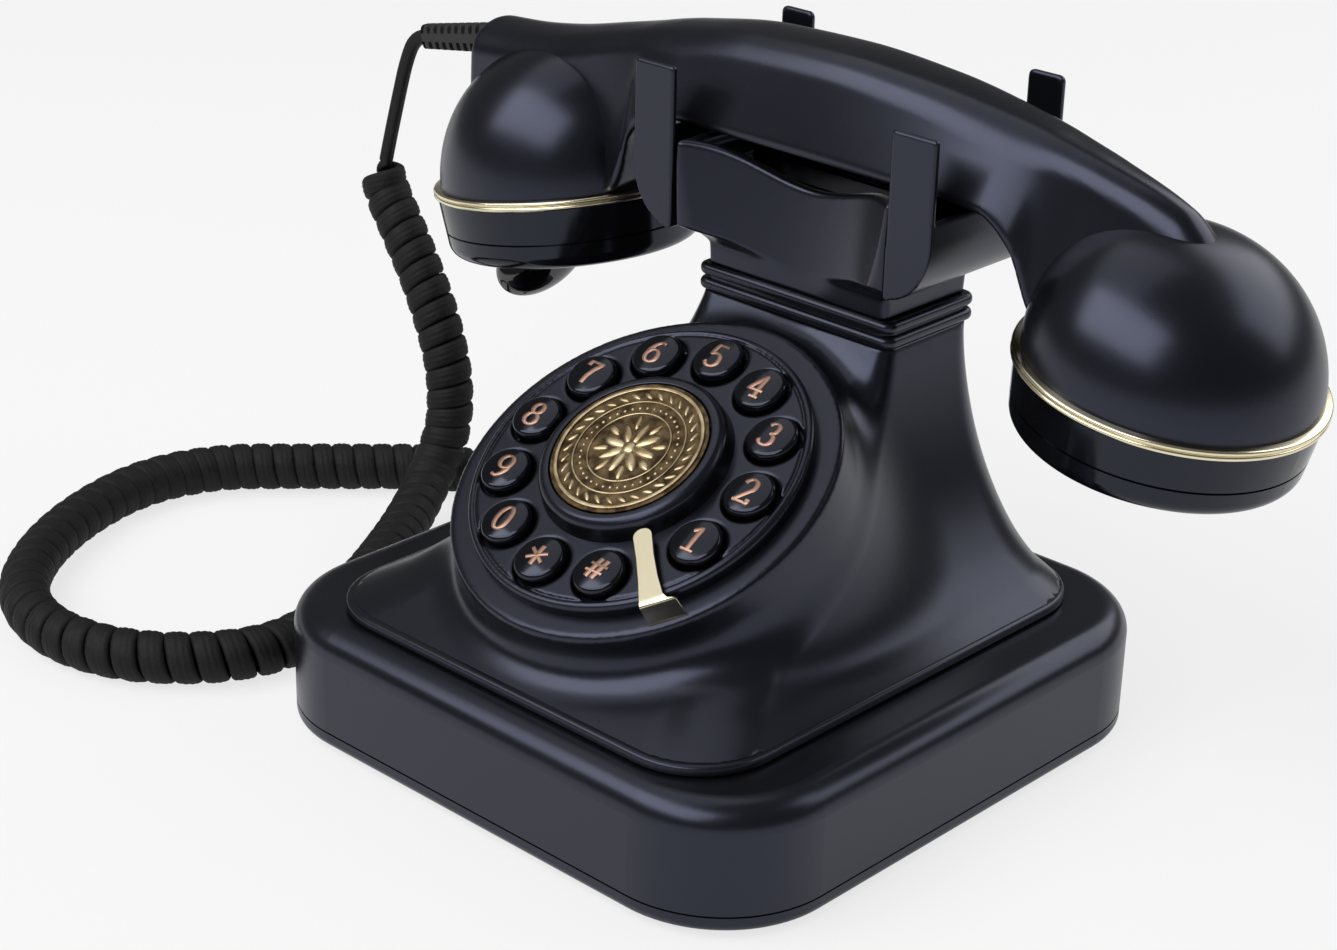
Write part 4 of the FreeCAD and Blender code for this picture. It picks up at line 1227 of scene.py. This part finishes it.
def fork_field(places):
    """One cradle bracket, on the right: thin plates joined by a quarter-round trough."""
    x, y, z = np.moveaxis(places, -1, 0)
    wide = fork_outer - fork_inner
    bend_z = fork_bottom + fork_bend
    size = np.sqrt(((x - fork_inner) / wide) ** 2 + ((z - bend_z) / fork_bend) ** 2)
    slope = np.sqrt(((x - fork_inner) / wide ** 2) ** 2 + ((z - bend_z) / fork_bend ** 2) ** 2)
    trough = np.where(z < bend_z, size * (size - 1) / np.maximum(slope, 1e-6), x - fork_outer)
    trough = np.where((z < bend_z) & (x < fork_inner), fork_bottom - z, trough)
    outline = np.maximum(trough, fork_inner - x)
    front_plate = slab(y, fork_front, fork_front + fork_wall)
    rear_plate = slab(y, fork_rear - fork_wall, fork_rear)
    inner_plate = slab(x, fork_inner, fork_inner + fork_wall)
    long = slab(y, fork_front, fork_rear)
    front = smooth_max(outline, z - front_arm_top, fork_edge)
    front = smooth_max(front, front_plate, fork_edge)
    rear = smooth_max(np.maximum(outline, z - fork_rim), rear_plate, fork_edge)
    shell = np.maximum(np.abs(trough + fork_wall / 2) - fork_wall / 2, fork_inner - x)
    shell = np.maximum(smooth_max(shell, z - fork_rim, fork_edge), long)
    inner = np.maximum(inner_plate, slab(z, fork_bottom, crossbar_low + inner_plate_rise))
    inner = np.maximum(inner, long)
    saddle = np.maximum(inner_plate, slab(z, fork_bottom, grip_bottom - saddle_gap))
    saddle = smooth_max(saddle, np.abs(y - fork_y) - saddle_half, saddle_edge)
    arm = slab(x, fork_inner, fork_inner + rear_arm_width)
    arm = smooth_max(arm, slab(z, fork_rim - rear_arm_root, rear_arm_top), rear_arm_edge)
    arm = smooth_max(arm, rear_plate, fork_edge)
    return np.minimum.reduce([front, rear, shell, inner, saddle, arm])


def make_forks():
    """The right bracket, and its mirror image."""
    low = np.array((fork_inner, fork_front, fork_bottom)) - fork_margin
    high = np.array((fork_outer, fork_rear, rear_arm_top)) + fork_margin
    points, faces = field_surface(fork_field, low, high, fine_grid)
    add_piece("cradle_right", (points, faces), "fork", "satin_black", "fork_right")
    mirrored = [(-x, y, z) for x, y, z in points]
    turned = [tuple(reversed(face)) for face in faces]
    add_piece("cradle_left", (mirrored, turned), "fork", "satin_black", "fork_left")


# Stage

def make_camera():
    """The camera, where it stood for the photograph."""
    c, s = cos(camera_yaw), sin(camera_yaw)
    ahead = cos(camera_pitch)
    forward = Vector((-s * ahead, c * ahead, -sin(camera_pitch)))
    level = Vector((c, s, 0.0))
    raised = level.cross(forward)
    right = level * cos(camera_roll) + raised * sin(camera_roll)
    up = raised * cos(camera_roll) - level * sin(camera_roll)
    data = bpy.data.cameras.new("camera")
    data.sensor_width = sensor_width
    data.lens = camera_focal_pixels / photo_width_pixels * sensor_width
    data.clip_start = 0.01
    camera = new_object("camera", data)
    turn = Matrix((right, up, -forward)).transposed()
    camera.matrix_world = Matrix.Translation(MM * Vector(camera_place)) @ turn.to_4x4()
    bpy.context.scene.camera = camera


def make_floor():
    """A pale floor, whiter where the camera or a reflection looks at it, that keeps the shadow."""
    mesh = bpy.data.meshes.new("floor")
    corners = [(x * floor_half, y * floor_half, 0) for x, y in ((-1, -1), (1, -1), (1, 1), (-1, 1))]
    mesh.from_pydata(corners, [], [(0, 1, 2, 3)])
    floor = new_object("floor", mesh)
    material, shader = new_material("floor_white", floor_color, floor_roughness)
    tree = material.node_tree
    path = tree.nodes.new("ShaderNodeLightPath")
    share = None
    for name, amount in floor_glows:
        part = tree.nodes.new("ShaderNodeMath")
        part.operation = "MULTIPLY"
        part.inputs[1].default_value = amount
        tree.links.new(path.outputs[name], part.inputs[0])
        if share is not None:
            both = tree.nodes.new("ShaderNodeMath")
            both.operation = "MAXIMUM"
            tree.links.new(share, both.inputs[0])
            tree.links.new(part.outputs[0], both.inputs[1])
            part = both
        share = part.outputs[0]
    glow = tree.nodes.new("ShaderNodeEmission")
    glow.inputs["Strength"].default_value = 1.0
    mix = tree.nodes.new("ShaderNodeMixShader")
    tree.links.new(share, mix.inputs["Fac"])
    tree.links.new(shader.outputs["BSDF"], mix.inputs[1])
    tree.links.new(glow.outputs["Emission"], mix.inputs[2])
    tree.links.new(mix.outputs["Shader"], tree.nodes["Material Output"].inputs["Surface"])
    mesh.materials.append(material)


def make_world():
    """Even light from all round."""
    world = bpy.data.worlds.new("studio")
    bpy.context.scene.world = world
    world.use_nodes = True
    white = (1.0, 1.0, 1.0, 1.0)
    set_inputs(world.node_tree.nodes["Background"], {"Color": white, "Strength": world_light})


def make_lamps():
    """Soft rectangular lamps that look at the telephone."""
    for name, place, size, power in lamps:
        data = bpy.data.lights.new(name, "AREA")
        data.shape = "RECTANGLE"
        data.size, data.size_y = size
        data.energy = power
        lamp = new_object(name, data)
        lamp.location = place
        lamp.rotation_euler = (Vector(lamp_target) - Vector(place)).to_track_quat("-Z", "Y").to_euler()


bpy.context.scene.view_settings.view_transform = "Standard"
make_materials()
dress_nodes()
make_cord(make_boot())
make_housing()
make_plate()
make_keys()
make_stop()
make_medallion()
make_handset()
make_rings()
make_spout()
make_head()
make_forks()
make_floor()
make_world()
make_lamps()
make_camera()
